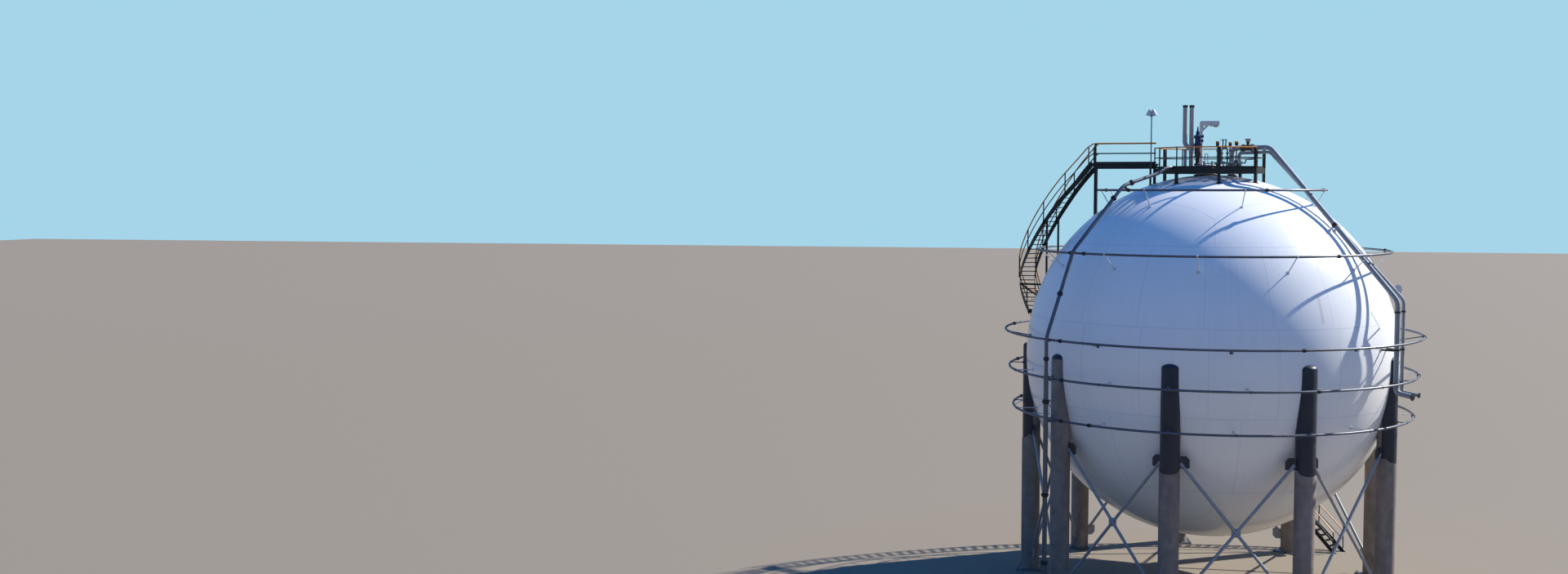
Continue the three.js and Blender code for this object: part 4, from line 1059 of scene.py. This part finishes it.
upper_count = round((WALK - HALF_LANDING) / RISE)
middle_count = round((HALF_LANDING - QUARTER_LANDING) / RISE)
lower_count = round((QUARTER_LANDING + CENTRE.z) / RISE)
plan = evenly([Vector((x * RADIUS, y * RADIUS, 0)) for x, y in UPPER_PLAN], upper_count)
upper_path = [CENTRE + p + up(WALK + (HALF_LANDING - WALK) * i / upper_count) for i, p in enumerate(plan)]
middle_path = helix((HALF_AZIMUTHS[1], QUARTER_AZIMUTHS[0]), (HALF_LANDING, QUARTER_LANDING), middle_count)
lower_path = helix((QUARTER_AZIMUTHS[1], STAIR_FOOT), (QUARTER_LANDING, 0.13 - CENTRE.z), lower_count)

rail_path = [over(WALK_END + 0.1, 0, WALK), upper_path[0].lerp(upper_path[1], 0.7)] + upper_path[1:-1]
rail_path.append(upper_path[-1].lerp(upper_path[-2], 0.6))
posts = stair_rails(rail_path, "upper")
props = []
for side in (-1, 1):
    spot = beside(upper_path, side * STAIR_WIDTH / 2)[PROPPED_STEP]
    props += shell_post(spot, spot.z - 0.12, 0.1)
# A bracket off the shell holds the lower part from below
held = upper_path[BRACKET_STEP] - CENTRE
held_azimuth, held_radius = math.degrees(math.atan2(held.x, -held.y)), math.hypot(held.x, held.y)
props += bracket(held_azimuth, held_radius, BRACKET_REACH, held.z - 0.19, 0.1, 0.1, 0.4)
whole = flight(upper_path, posts, props)
half_edge = around_axis(HALF_AZIMUTHS[0])
trimmed(whole, over(WALK_END - 0.0005, 0, 0), Vector((1, 0, 0)))
trimmed(whole, at(HALF_AZIMUTHS[0], HELIX, 0), -half_edge)
stair_mount(whole, "upper")

middle_rail_path = [at(HALF_AZIMUTHS[0] - 1.4, HELIX, HALF_LANDING),
                    at(HALF_AZIMUTHS[1] + 0.3, HELIX, HALF_LANDING)] + middle_path[2:-1]
posts = stair_rails(middle_rail_path, "middle")
stair_mount(flight(middle_path, posts), "middle")

lower_rail_path = [at(QUARTER_AZIMUTHS[0] - 0.5, HELIX, QUARTER_LANDING),
                   at(QUARTER_AZIMUTHS[1] + 0.3, HELIX, QUARTER_LANDING)] + lower_path[2:]
posts = stair_rails(lower_rail_path, "lower")
stair_mount(trimmed(flight(lower_path, posts), up(0.0005), -UP), "lower")
scrap(tread)

# Landings
# Two level grating floors on channel rims, each held by a pair of brackets with knee braces: the upper one
# off the shell, the lower one off a leg.
LANDING_RIM = (0.21, 0.07)


def landing(azimuths, height, reach, knee, level):
    half = STAIR_WIDTH / 2 + STRINGER[0] / 2
    rim = [
        at(azimuths[i], HELIX + side * half, height - 0.002) for i, side in ((0, -1), (0, 1), (1, 1), (1, -1))
    ]
    pieces = []
    for a, b, inward in sides_of(rim):
        pieces += channel(a + inward * 0.008, b + inward * 0.008, *LANDING_RIM, inward)
    for share in (0.25, 0.75):
        azimuth = azimuths[0] + (azimuths[1] - azimuths[0]) * share
        pieces += bracket(azimuth, HELIX, reach, height - LANDING_RIM[0], 0.1, 0.18, knee)
    pieces = painted(black_paint, *pieces) + grating(rim, CENTRE.z + height, True)
    assembled(pieces, level + "_landing_floor", "stair_" + level + "_landing", 30)


landing(HALF_AZIMUTHS, HALF_LANDING, BRACKET_REACH, -0.7, "half")
landing(QUARTER_AZIMUTHS, QUARTER_LANDING, LEG_CIRCLE + 0.33, 0.1, "quarter")

# Crown neck and nozzle
# A manhole neck, a metre across and painted warm grey, welded through the crown on a rusty pad and closed by
# a bolted cover, and beside it the smaller nozzle of the large process pipe.
COVER_TOP = DECK_HEIGHT + 0.17
DECK_TOP = DECK_HEIGHT + 0.001
NECK_AT = (-0.028 * RADIUS, -0.02 * RADIUS)
NOZZLE_AT = (0.11 * RADIUS, -0.03 * RADIUS)

# Alkyd machine grey, sprayed on pipework: satin, with chalky patches about 200 mm across
grey_paint = mottled("alkyd_satin_grey_on_pipework", 5, 5, "#a09b95", "#bbb6af", 0.001, Roughness=0.42)

# Red-oxide primer, brushed and weathered to a rusty brown, matt and grainy. Rust blooms about 150 mm across
oxide = mottled("weathered_red_oxide_primer", 7, 6, "#3a302a", "#66564a", 0.003, Roughness=0.75)


def studs(spot, radius, count, low, high, size=0.03):
    """A circle of stud bolts through a level flange"""
    ways = [around_axis(360 * k / count) for k in range(count)]
    return [rod(spot + way * radius + up(low), spot + way * radius + up(high), size, 6) for way in ways]


def flanged_neck(x, y, radius, flange, top, count):
    spot = over(x, y, 0)
    base = crown_at(spot) - CENTRE.z - 0.03
    neck = turned([(radius, base), (radius, top - 0.2), (flange, top - 0.17), (flange, top - 0.1)], spot, 64)
    cover = turned([(flange, top - 0.09), (flange, top - 0.01), (flange - 0.01, top)], spot, 64)
    edge = radius + 0.09
    pad = turned([(edge, base - 0.02), (edge, base + 0.055), (radius + 0.02, base + 0.065)], spot, 64)
    bolts = studs(spot, flange - 0.045, count, top - 0.2, top + 0.035, 0.022)
    return painted(grey_paint, neck, cover) + painted(oxide, pad) + painted(cast_iron, *bolts)


assembled(flanged_neck(*NECK_AT, 0.5, 0.56, COVER_TOP, 24), "manhole_neck", "crown_neck")
assembled(flanged_neck(*NOZZLE_AT, 0.19, 0.3, COVER_TOP, 12), "pipe_nozzle", "process_nozzle")

# Vent pipes
# Two steel pipes painted blue-grey, 228 mm across, open to the sky under dark rain caps. The left one turns
# at rail height into the right one, over a short blanked stub of its own.
VENT_RADIUS = 0.114
LEFT_VENT_TOP = 1.389 * RADIUS
RIGHT_VENT_TOP = 1.387 * RADIUS
LEFT_VENT_AT = (-0.143 * RADIUS, 0.03 * RADIUS)
RIGHT_VENT_AT = (-0.107 * RADIUS, 0.0)
STUB_AT = (LEFT_VENT_AT[0] + 0.03, LEFT_VENT_AT[1])
VENT_STUB_TOP = 10.4


def vent_ends(x, y, top, cap_x, cap_y):
    """A bolted foot flange on the deck, and a rain cap"""
    foot = turned([(0.154, 0.001), (0.154, 0.04)], over(x, y, DECK_HEIGHT), 32)
    bolts = studs(over(x, y, DECK_HEIGHT), 0.129, 8, 0.04, 0.06, 0.014)
    rim = VENT_RADIUS + 0.016
    cap_profile = [(VENT_RADIUS, -0.12), (rim, -0.11), (rim, -0.015), (VENT_RADIUS - 0.01, 0)]
    cap = turned(cap_profile, over(cap_x, cap_y, top), 32)
    return painted(cast_iron, cap) + painted(grey_paint, foot, *bolts)


left_line = [over(*LEFT_VENT_AT, LEFT_VENT_TOP), over(*LEFT_VENT_AT, 10.72), over(*RIGHT_VENT_AT, 10.43)]
left_run = pipe_run(rounded(left_line, 0.16), VENT_RADIUS, fineness=6)
stub = rod(over(*STUB_AT, DECK_TOP), over(*STUB_AT, VENT_STUB_TOP), 0.078, 24)
blank = rod(over(*STUB_AT, VENT_STUB_TOP), over(*STUB_AT, VENT_STUB_TOP + 0.07), 0.12, 24)
pieces = painted(grey_paint, left_run, stub, blank) + vent_ends(*STUB_AT, LEFT_VENT_TOP, *LEFT_VENT_AT)
assembled(pieces, "left_vent", "vent_pipe_left")
right_run = rod(over(*RIGHT_VENT_AT, DECK_TOP), over(*RIGHT_VENT_AT, RIGHT_VENT_TOP), VENT_RADIUS, 40)
saddle = rod(over(*RIGHT_VENT_AT, 10.25), over(*RIGHT_VENT_AT, 10.6), VENT_RADIUS + 0.012, 40)
pieces = painted(grey_paint, right_run, saddle) + vent_ends(*RIGHT_VENT_AT, RIGHT_VENT_TOP, *RIGHT_VENT_AT)
assembled(pieces, "right_vent", "vent_pipe_right")

# Relief valve
# A cast spring valve bolted to the manhole cover: a rusty body with a side outlet, and a dark blue bonnet,
# arms and spring cap over it.
RELIEF_AT = (-0.073 * RADIUS, -0.035 * RADIUS)

# Dark blue alkyd gloss on castings: deep, with dulled patches about 150 mm across
blue_paint = mottled("alkyd_gloss_dark_blue_on_casting", 7, 4, "#0f2447", "#234273", 0.002, Roughness=0.3)

spot = over(*RELIEF_AT, 0)
foot_profile = [(0.17, COVER_TOP + 0.001), (0.17, COVER_TOP + 0.06), (0.1, COVER_TOP + 0.09), (0.1, 10.04)]
body_profile = [(0.2, 10.03), (0.2, 10.09), (0.13, 10.12), (0.16, 10.25), (0.16, 10.48), (0.12, 10.62)]
bonnet_profile = [
    (0.21, 10.61), (0.21, 10.7), (0.15, 10.73), (0.14, 10.84), (0.14, 11.0), (0.2, 11.04),
    (0.2, 11.13), (0.1, 11.17), (0.085, 11.33), (0.045, 11.38), (0.03, 11.58),
]
pieces = painted(cast_iron, turned(foot_profile, spot, 32))
pieces += painted(oxide, turned(body_profile, spot, 32))
pieces += painted(blue_paint, turned(bonnet_profile, spot, 32))
# The outlet with its flange, two arms with a boss on each, and the lifting lever
for a, b, width, finish in (
    ((0, 0, 10.17), (0.02, -0.33, 10.17), 0.095, oxide),
    ((0.018, -0.28, 10.17), (0.02, -0.33, 10.17), 0.15, oxide),
    ((0, 0, 11.09), (0.27, 0, 11.09), 0.035, blue_paint),
    ((0, 0, 10.87), (0.24, 0, 10.87), 0.035, blue_paint),
    ((0.23, 0, 10.8), (0.23, 0, 10.94), 0.05, blue_paint),
    ((0.25, 0, 11.02), (0.25, 0, 11.17), 0.045, blue_paint),
    ((-0.24, -0.05, 10.95), (0, 0, 11.18), 0.02, blue_paint),
):
    pieces += painted(finish, rod(spot + Vector(a), spot + Vector(b), width, 16))
pieces += painted(blue_paint, *studs(spot, 0.18, 8, 10.58, 10.75, 0.016))
assembled(pieces, "spring_relief_valve", "relief_valve")

# Davit
# A swinging jib for the manhole cover: a round post on a foot flange, a boxed arm, a knee plate with a hole
# and a hoist housing under the arm. Painted white.
DAVIT_AT = (-0.055 * RADIUS, 0.08 * RADIUS)
DAVIT_TOP = 1.3 * RADIUS

spot = over(*DAVIT_AT, 0)
arm = over(*DAVIT_AT, DAVIT_TOP - 0.1)
beam = block(arm + Vector((0.4, 0, 0.005)), (0.92, 0.2, 0.26))
finished(beam, "BEVEL", width=0.075, segments=6)
cap = block(arm + Vector((0.864, 0, 0)), (0.03, 0.22, 0.26))
post = turned([(0.09, DECK_TOP), (0.09, DAVIT_TOP - 0.02), (0.05, DAVIT_TOP)], spot, 32)
sleeve = turned([(0.1, -0.2), (0.1, -0.1)], arm, 32)
foot_disc = turned([(0.17, DECK_TOP), (0.17, DECK_HEIGHT + 0.04)], spot, 32)
knee = block(arm + Vector((0.2, 0, -0.24)), (0.4, 0.016, 0.4))
trimmed(knee, arm + Vector((0.22, 0, -0.26)), Vector((1, 0, -1)))
hole = rod(arm + Vector((0.13, -0.1, -0.16)), arm + Vector((0.13, 0.1, -0.16)), 0.05, 20)
cut(knee, hole)
scrap(hole)
hoist = rod(arm + Vector((0.6, 0, -0.11)), arm + Vector((0.82, 0, -0.11)), 0.09, 28)
motor = rod(arm + Vector((0.44, 0, -0.09)), arm + Vector((0.64, 0, -0.09)), 0.07, 28)
bolts = studs(over(*DAVIT_AT, DECK_HEIGHT), 0.14, 8, 0.04, 0.065, 0.014)
pieces = painted(white_enamel, beam, cap, post, sleeve, foot_disc, knee, *bolts)
pieces += painted(grey_paint, hoist, motor)
assembled(pieces, "jib_davit", "davit")

# Light mast
# A galvanised pole clamped to the walkway's front beam and rails, with two reflector lamps at its head.
# The lamps lean outwards.
MAST_AT = (-0.3227 * RADIUS, -0.47)
MAST_TOP = 1.35 * RADIUS
LAMP_LEAN = 16

spot = over(*MAST_AT, 0)
pieces = [
    turned([(0.03, WALK - 0.26), (0.03, MAST_TOP - 0.02), (0.02, MAST_TOP)], spot, 16),
    block(spot + up(MAST_TOP - 0.08), (0.34, 0.05, 0.05)),
]
for height, width in ((-0.13, 0.06), (MID_RAIL, 0.048), (RAIL_HEIGHT - 0.026, 0.048)):
    face = CENTRE.y - WALK_SIDE - width / 2
    clamp_at = Vector((spot.x, (spot.y + face) / 2, CENTRE.z + WALK + height))
    pieces.append(block(clamp_at, (0.09, face - spot.y + 0.02, 0.05)))
painted(galvanised, *pieces)
for side in (-1, 1):
    lamp = turned([(0.135, -0.17), (0.133, -0.13), (0.085, 0.12), (0.055, 0.16)], (0, 0, 0), 28)
    lean = Matrix.Rotation(math.radians(-LAMP_LEAN * side), 4, "Y")
    lamp.data.transform(Matrix.Translation(spot + Vector((side * 0.11, 0, MAST_TOP - 0.04))) @ lean)
    pieces += painted(white_enamel, lamp)
assembled(pieces, "lamp_pole", "light_mast")

# Valve stand
# Small-bore pipework on the platform: a header on two legs, risers with handwheels and yellow-capped gauges,
# a low branch and capped stubs.
STAND_Y = -0.1 * RADIUS
HEADER = DECK_HEIGHT + 0.26
HEADER_ENDS = (0.02 * RADIUS, 0.145 * RADIUS)
BRIDGE_TOP = 10.457
BRANCH_LEVEL = 9.92
DRAIN_LEVEL = 10.21
STUB_BRIDGE = DECK_HEIGHT + 0.25
# Each gauge: its place along the header, the heights of its foot and top, and its radius
GAUGES = ((0.3, 10.59, 10.83, 0.08), (0.91, 10.58, 10.78, 0.08), (1.215, 10.62, 10.82, 0.09))


def stand_at(x, height):
    return over(x, STAND_Y, height)


def handwheel(spot, radius):
    """Rim and three spokes across it"""
    rim = added(
        bpy.ops.mesh.primitive_torus_add, major_segments=28, minor_segments=8, major_radius=radius,
        minor_radius=0.018, location=spot,
    )
    spokes = [drum(spot, around_axis(turn), radius, radius, 0.012, 8) for turn in (0, 60, 120)]
    return painted(blue_paint, rim, *spokes)


pieces = painted(grey_paint, rod(*(stand_at(x, HEADER) for x in HEADER_ENDS), 0.055, 24))
for x in HEADER_ENDS:
    pieces += painted(grey_paint, drum(stand_at(x, HEADER), Vector((1, 0, 0)), 0.018, 0.018, 0.095, 24))
for x in (0.03 * RADIUS, 0.14 * RADIUS):
    leg = block(stand_at(x, DECK_HEIGHT + 0.12), (0.07, 0.07, 0.24))
    pieces += painted(black_paint, leg, block(stand_at(x, DECK_HEIGHT + 0.006), (0.16, 0.16, 0.01)))
# Risers: three gauges under yellow caps, and two stems with handwheels on a bridge pipe
for x, low, high, width in GAUGES:
    foot = stand_at(x, 0)
    rim = width + 0.008
    cap = turned([(rim, high - 0.09), (rim, high - 0.02), (width - 0.02, high)], foot, 24)
    pieces += painted(grey_paint, turned([(0.038, HEADER), (0.038, low)], foot, 16))
    pieces += painted(cast_iron, turned([(width, low), (width, high - 0.09)], foot, 24))
    pieces += painted(yellow_paint, cap)
    pieces += painted(blue_paint, turned([(0.055, low - 0.28), (0.055, low - 0.2)], foot, 16))
bridge_ends = (0.508, 0.78)
bridge = [stand_at(bridge_ends[0], HEADER), stand_at(bridge_ends[0], BRIDGE_TOP),
          stand_at(bridge_ends[1], BRIDGE_TOP), stand_at(bridge_ends[1], HEADER)]
pieces += painted(grey_paint, pipe_run(rounded(bridge, 0.09), 0.045, fineness=5))
for x, height, wheel in ((0.562, 10.9, 0.11), (0.696, 10.9, 0.06)):
    stem = [(0.075, 10.48), (0.075, 10.58), (0.045, 10.63), (0.03, 10.65), (0.03, height)]
    pieces += painted(blue_paint, turned(stem, stand_at(x, 0), 20)) + handwheel(stand_at(x, height), wheel)
for x in bridge_ends:
    for height in (9.95, 10.2):
        pieces += painted(cast_iron, turned([(0.085, height), (0.085, height + 0.05)], stand_at(x, 0), 24))
# A low branch with a gate valve towards the right rail, and a small looped drain towards the manhole
branch = [stand_at(HEADER_ENDS[1], HEADER), stand_at(1.66, HEADER),
          stand_at(1.667, BRANCH_LEVEL), stand_at(2.04, BRANCH_LEVEL)]
pieces += painted(grey_paint, pipe_run(rounded(branch, 0.08), 0.035))
gate = turned([(0.05, 9.76), (0.09, 9.79), (0.09, 9.86), (0.03, 9.9), (0.02, 10.05)], stand_at(1.2, 0), 20)
pieces += painted(blue_paint, gate) + handwheel(stand_at(1.2, 10.06), 0.07)
drain = [stand_at(0.24, HEADER), stand_at(-0.16, HEADER), stand_at(-0.16, DRAIN_LEVEL),
         stand_at(-0.3, DRAIN_LEVEL), stand_at(-0.3, DECK_HEIGHT + 0.02)]
pieces += painted(grey_paint, pipe_run(rounded(drain, 0.07), 0.02))
# Two pairs of capped stubs in front, each pair joined by a thin pipe
stub_profile = [
    (0.06, DECK_TOP), (0.06, DECK_HEIGHT + 0.02), (0.035, DECK_HEIGHT + 0.03), (0.035, DECK_HEIGHT + 0.3),
    (0.07, DECK_HEIGHT + 0.31), (0.07, DECK_HEIGHT + 0.36),
]
for a, b in (((-0.35, -0.75), (0.05, -0.7)), ((0.6, -0.62), (1.45, -0.6))):
    link = rod(over(*a, STUB_BRIDGE), over(*b, STUB_BRIDGE), 0.03, 16)
    pieces += painted(grey_paint, link, *(turned(stub_profile, over(*end, 0), 20) for end in (a, b)))
assembled(pieces, "gauge_stand", "valve_stand")

# Process pipes
# Two insulated pipes in banded aluminium cladding, 240 and 164 mm across: from the crown over the right
# shoulder of the shell and straight down, held off it by arms, each ending in a flange that faces out.
PIPE_DROP = 1.078 * RADIUS
PIPE_ELBOW = 0.355 * RADIUS
PIPE_END = -0.115 * RADIUS
ARM_HEIGHT = 0.14 * RADIUS - 0.33
ELBOW_CLAMP = 0.3 * RADIUS - 0.02
BAND_PITCH = 1.86
# Each pipe: the node it replaces, its azimuth and radius, where it starts and how high, and how far out and
# how high it turns down over the crown
PROCESS_PIPES = (
    ("process_pipe_large", 59.5, 0.12, NOZZLE_AT, COVER_TOP + 0.021, 0.356, 1.147),
    ("process_pipe_small", 63.4, 0.082, (0.15 * RADIUS, 0.06 * RADIUS), DECK_HEIGHT + 0.021, 0.345, 1.122),
)
# The thin plate with a round head beside the elbows: where it stands, and the way that its face runs
PLATE_AZIMUTH, PLATE_RADIUS = 66, 1.03 * RADIUS
PLATE_HEADING = Vector((0.8125, 0.583, 0))
PLATE_HEAD_RADIUS = 0.24

# Aluminium cladding, rolled sheet under years of oxide: pale and matt, with faint dents and oxide patches
# about 300 mm across
cladding = mottled(
    "rolled_aluminium_cladding", 3.5, 2, "#7f858b", "#9ba0a4", 0.0008, rough=(0.62, 0.75), Metallic=0.25
)


def walked(path, pitch):
    """Spots with their direction at every pitch along a path"""
    out, left_over = [], pitch
    for a, b in zip(path, path[1:]):
        length, step = (b - a).length, (b - a).normalized()
        while left_over < length:
            out.append((a + step * left_over, step))
            left_over += pitch
        left_over -= length
    return out


def crown_valve(spot, run):
    """A rusty body between two flanges on the large pipe, and a mushroom-shaped actuator over it"""
    body = [drum(spot, run, 0.2, 0.2, 0.15, 32)]
    body += [rod(spot + run * side * 0.24, spot + run * side * 0.3, 0.19, 32) for side in (-1, 1)]
    body.append(turned([(0.07, 0.1), (0.07, 0.24), (0.1, 0.26), (0.1, 0.3)], spot, 24))
    actuator = turned([(0.09, 0.3), (0.11, 0.37), (0.155, 0.41), (0.155, 0.45), (0.06, 0.47)], spot, 28)
    return painted(oxide, *body) + painted(grey_paint, actuator)


def elbow_plate(clamp):
    """A thin plate with a round head behind both elbows, on a bar from their clamps"""
    head = at(PLATE_AZIMUTH, PLATE_RADIUS, 0.405 * RADIUS)
    foot = at(PLATE_AZIMUTH, PLATE_RADIUS, 0.3 * RADIUS)
    face = Vector((-PLATE_HEADING.y, PLATE_HEADING.x, 0))
    disc = drum(head, face, 0.008, 0.008, PLATE_HEAD_RADIUS, 48)
    stem = block((head + foot) / 2, (0.16, 0.016, (head - foot).length), PLATE_HEADING)
    bar = block((foot + clamp) / 2, ((foot - clamp).length + 0.1, 0.012, 0.08), clamp - foot)
    return painted(white_enamel, disc, stem, bar)


for name, azimuth, radius, start, base, turn_radius, turn_height in PROCESS_PIPES:
    path = [
        over(*start, base),
        over(*start, turn_height * RADIUS),
        at(azimuth, turn_radius * RADIUS, turn_height * RADIUS),
        at(azimuth, PIPE_DROP, PIPE_ELBOW),
        at(azimuth, PIPE_DROP, PIPE_END),
        at(azimuth, 1.17 * RADIUS, PIPE_END - 0.12),
    ]
    line = rounded(path, 2.4 * radius, 10)
    bands = [drum(spot, step, 0.02, 0.02, radius + 0.003, 36) for spot, step in walked(line, BAND_PITCH)]
    pieces = painted(cladding, pipe_run(line, radius, fineness=8), *bands)
    out = (path[5] - path[4]).normalized()
    flange = radius * 1.58
    flanges = [drum(path[5], out, 0.045, 0, flange, 36), drum(path[0], UP, 0.02, 0.03, flange, 36)]
    clamps = [
        drum(at(azimuth, PIPE_DROP, height), UP, 0.04, 0.04, radius + 0.024, 32)
        for height in (ELBOW_CLAMP, ARM_HEIGHT, -0.62)
    ]
    pieces += painted(cast_iron, *flanges, *clamps)
    # An arm of black angle from a pad on the shell, clamped round the pipe
    pad = at(azimuth, math.sqrt(RADIUS ** 2 - ARM_HEIGHT ** 2), ARM_HEIGHT)
    near, far = pad - (at(azimuth, 0.03, 0) - CENTRE), at(azimuth, PIPE_DROP - radius, ARM_HEIGHT)
    middle, reach = (near + far) / 2, (far - near).length
    pieces += painted(
        black_paint,
        block(middle, (reach, 0.08, 0.012), far - near),
        block(middle - up(0.04), (reach, 0.012, 0.08), far - near),
    )
    pieces += painted(white_enamel, drum(pad, (pad - CENTRE).normalized(), 0.01, 0.018, 0.13, 28))
    # A support on the slope: a white leg from the shell to a dark clamp
    clamp_at = path[2].lerp(path[3], 0.52)
    slope = (path[3] - path[2]).normalized()
    normal = (clamp_at - CENTRE).normalized()
    pad = CENTRE + normal * RADIUS
    leg = rod(pad - normal * 0.02, clamp_at, 0.05, 20)
    pieces += painted(white_enamel, leg, drum(pad, normal, 0.02, 0.02, 0.12, 28))
    pieces += painted(cast_iron, drum(clamp_at, slope, 0.08, 0.08, radius + 0.026, 32))
    if name == "process_pipe_large":
        pieces += crown_valve(path[1].lerp(path[2], 0.42), (path[2] - path[1]).normalized())
        pieces += elbow_plate(at(azimuth, PIPE_DROP - 0.12, ELBOW_CLAMP))
    assembled(pieces, name.replace("process_pipe", "clad_pipe"), name)

# Studio
# A pale floor level with the feet of the legs, a clear sun 40 degrees up on the right, behind the tank, and a
# blue sky.
SUNWARDS = Vector((0.6246, 0.4482, 0.6395))
CAMERA_BACK, CAMERA_RISE = 9.16066 * RADIUS, 0.92839 * RADIUS
CAMERA_TILT, CAMERA_TURN = 3.553, 14.958
LENS, FILM_WIDTH = 36.593, 36

floor = added(bpy.ops.mesh.primitive_plane_add, size=900, location=(0, 0, -0.002))
floor.name = "floor"
floor_material, shader = new_material("pale_studio_floor", Base_Color=linear("#857a6a"), Roughness=0.9)
painted(floor_material, floor)

world = bpy.data.worlds.new("pale_sky")
bpy.context.scene.world = world
world.use_nodes = True
direction = node(world, "TexCoord").outputs["Generated"]
upward = node(world, "SeparateXYZ", (direction,)).outputs["Z"]
rise = node(world, "MapRange", {"Value": upward, "From Max": 0.6})
tones = {"Factor": rise, 6: (0.2, 0.3, 0.46, 1), 7: (0.03, 0.185, 0.58, 1)}
shade = node(world, "Mix", tones, data_type="RGBA").outputs[2]
# The backdrop behind the tank shows paler than the light that falls on it
seen = node(world, "LightPath").outputs["Is Camera Ray"]
tones = {"Factor": seen, 6: shade, 7: linear("#a6d5ea")}
backdrop = node(world, "Mix", tones, data_type="RGBA").outputs[2]
feed(world.node_tree.nodes["Background"], Color=backdrop)

bpy.ops.object.light_add(type="SUN", rotation=SUNWARDS.to_track_quat("Z", "Y").to_euler())
sun = bpy.context.object
sun.data.energy = 6.8
sun.data.color = (1, 0.96, 0.9)
sun.data.angle = math.radians(0.9)
bpy.context.scene.view_settings.view_transform = "Standard"

# The camera stands where the photograph was taken, 84 m in front of the sphere and 8.5 m above its centre
bpy.ops.object.camera_add(
    location=CENTRE + Vector((0, -CAMERA_BACK, CAMERA_RISE)),
    rotation=(math.radians(90 - CAMERA_TILT), 0, math.radians(CAMERA_TURN)),
)
camera = bpy.context.object
camera.data.lens = LENS
camera.data.sensor_width = FILM_WIDTH
camera.data.clip_end = 2000
bpy.context.scene.camera = camera
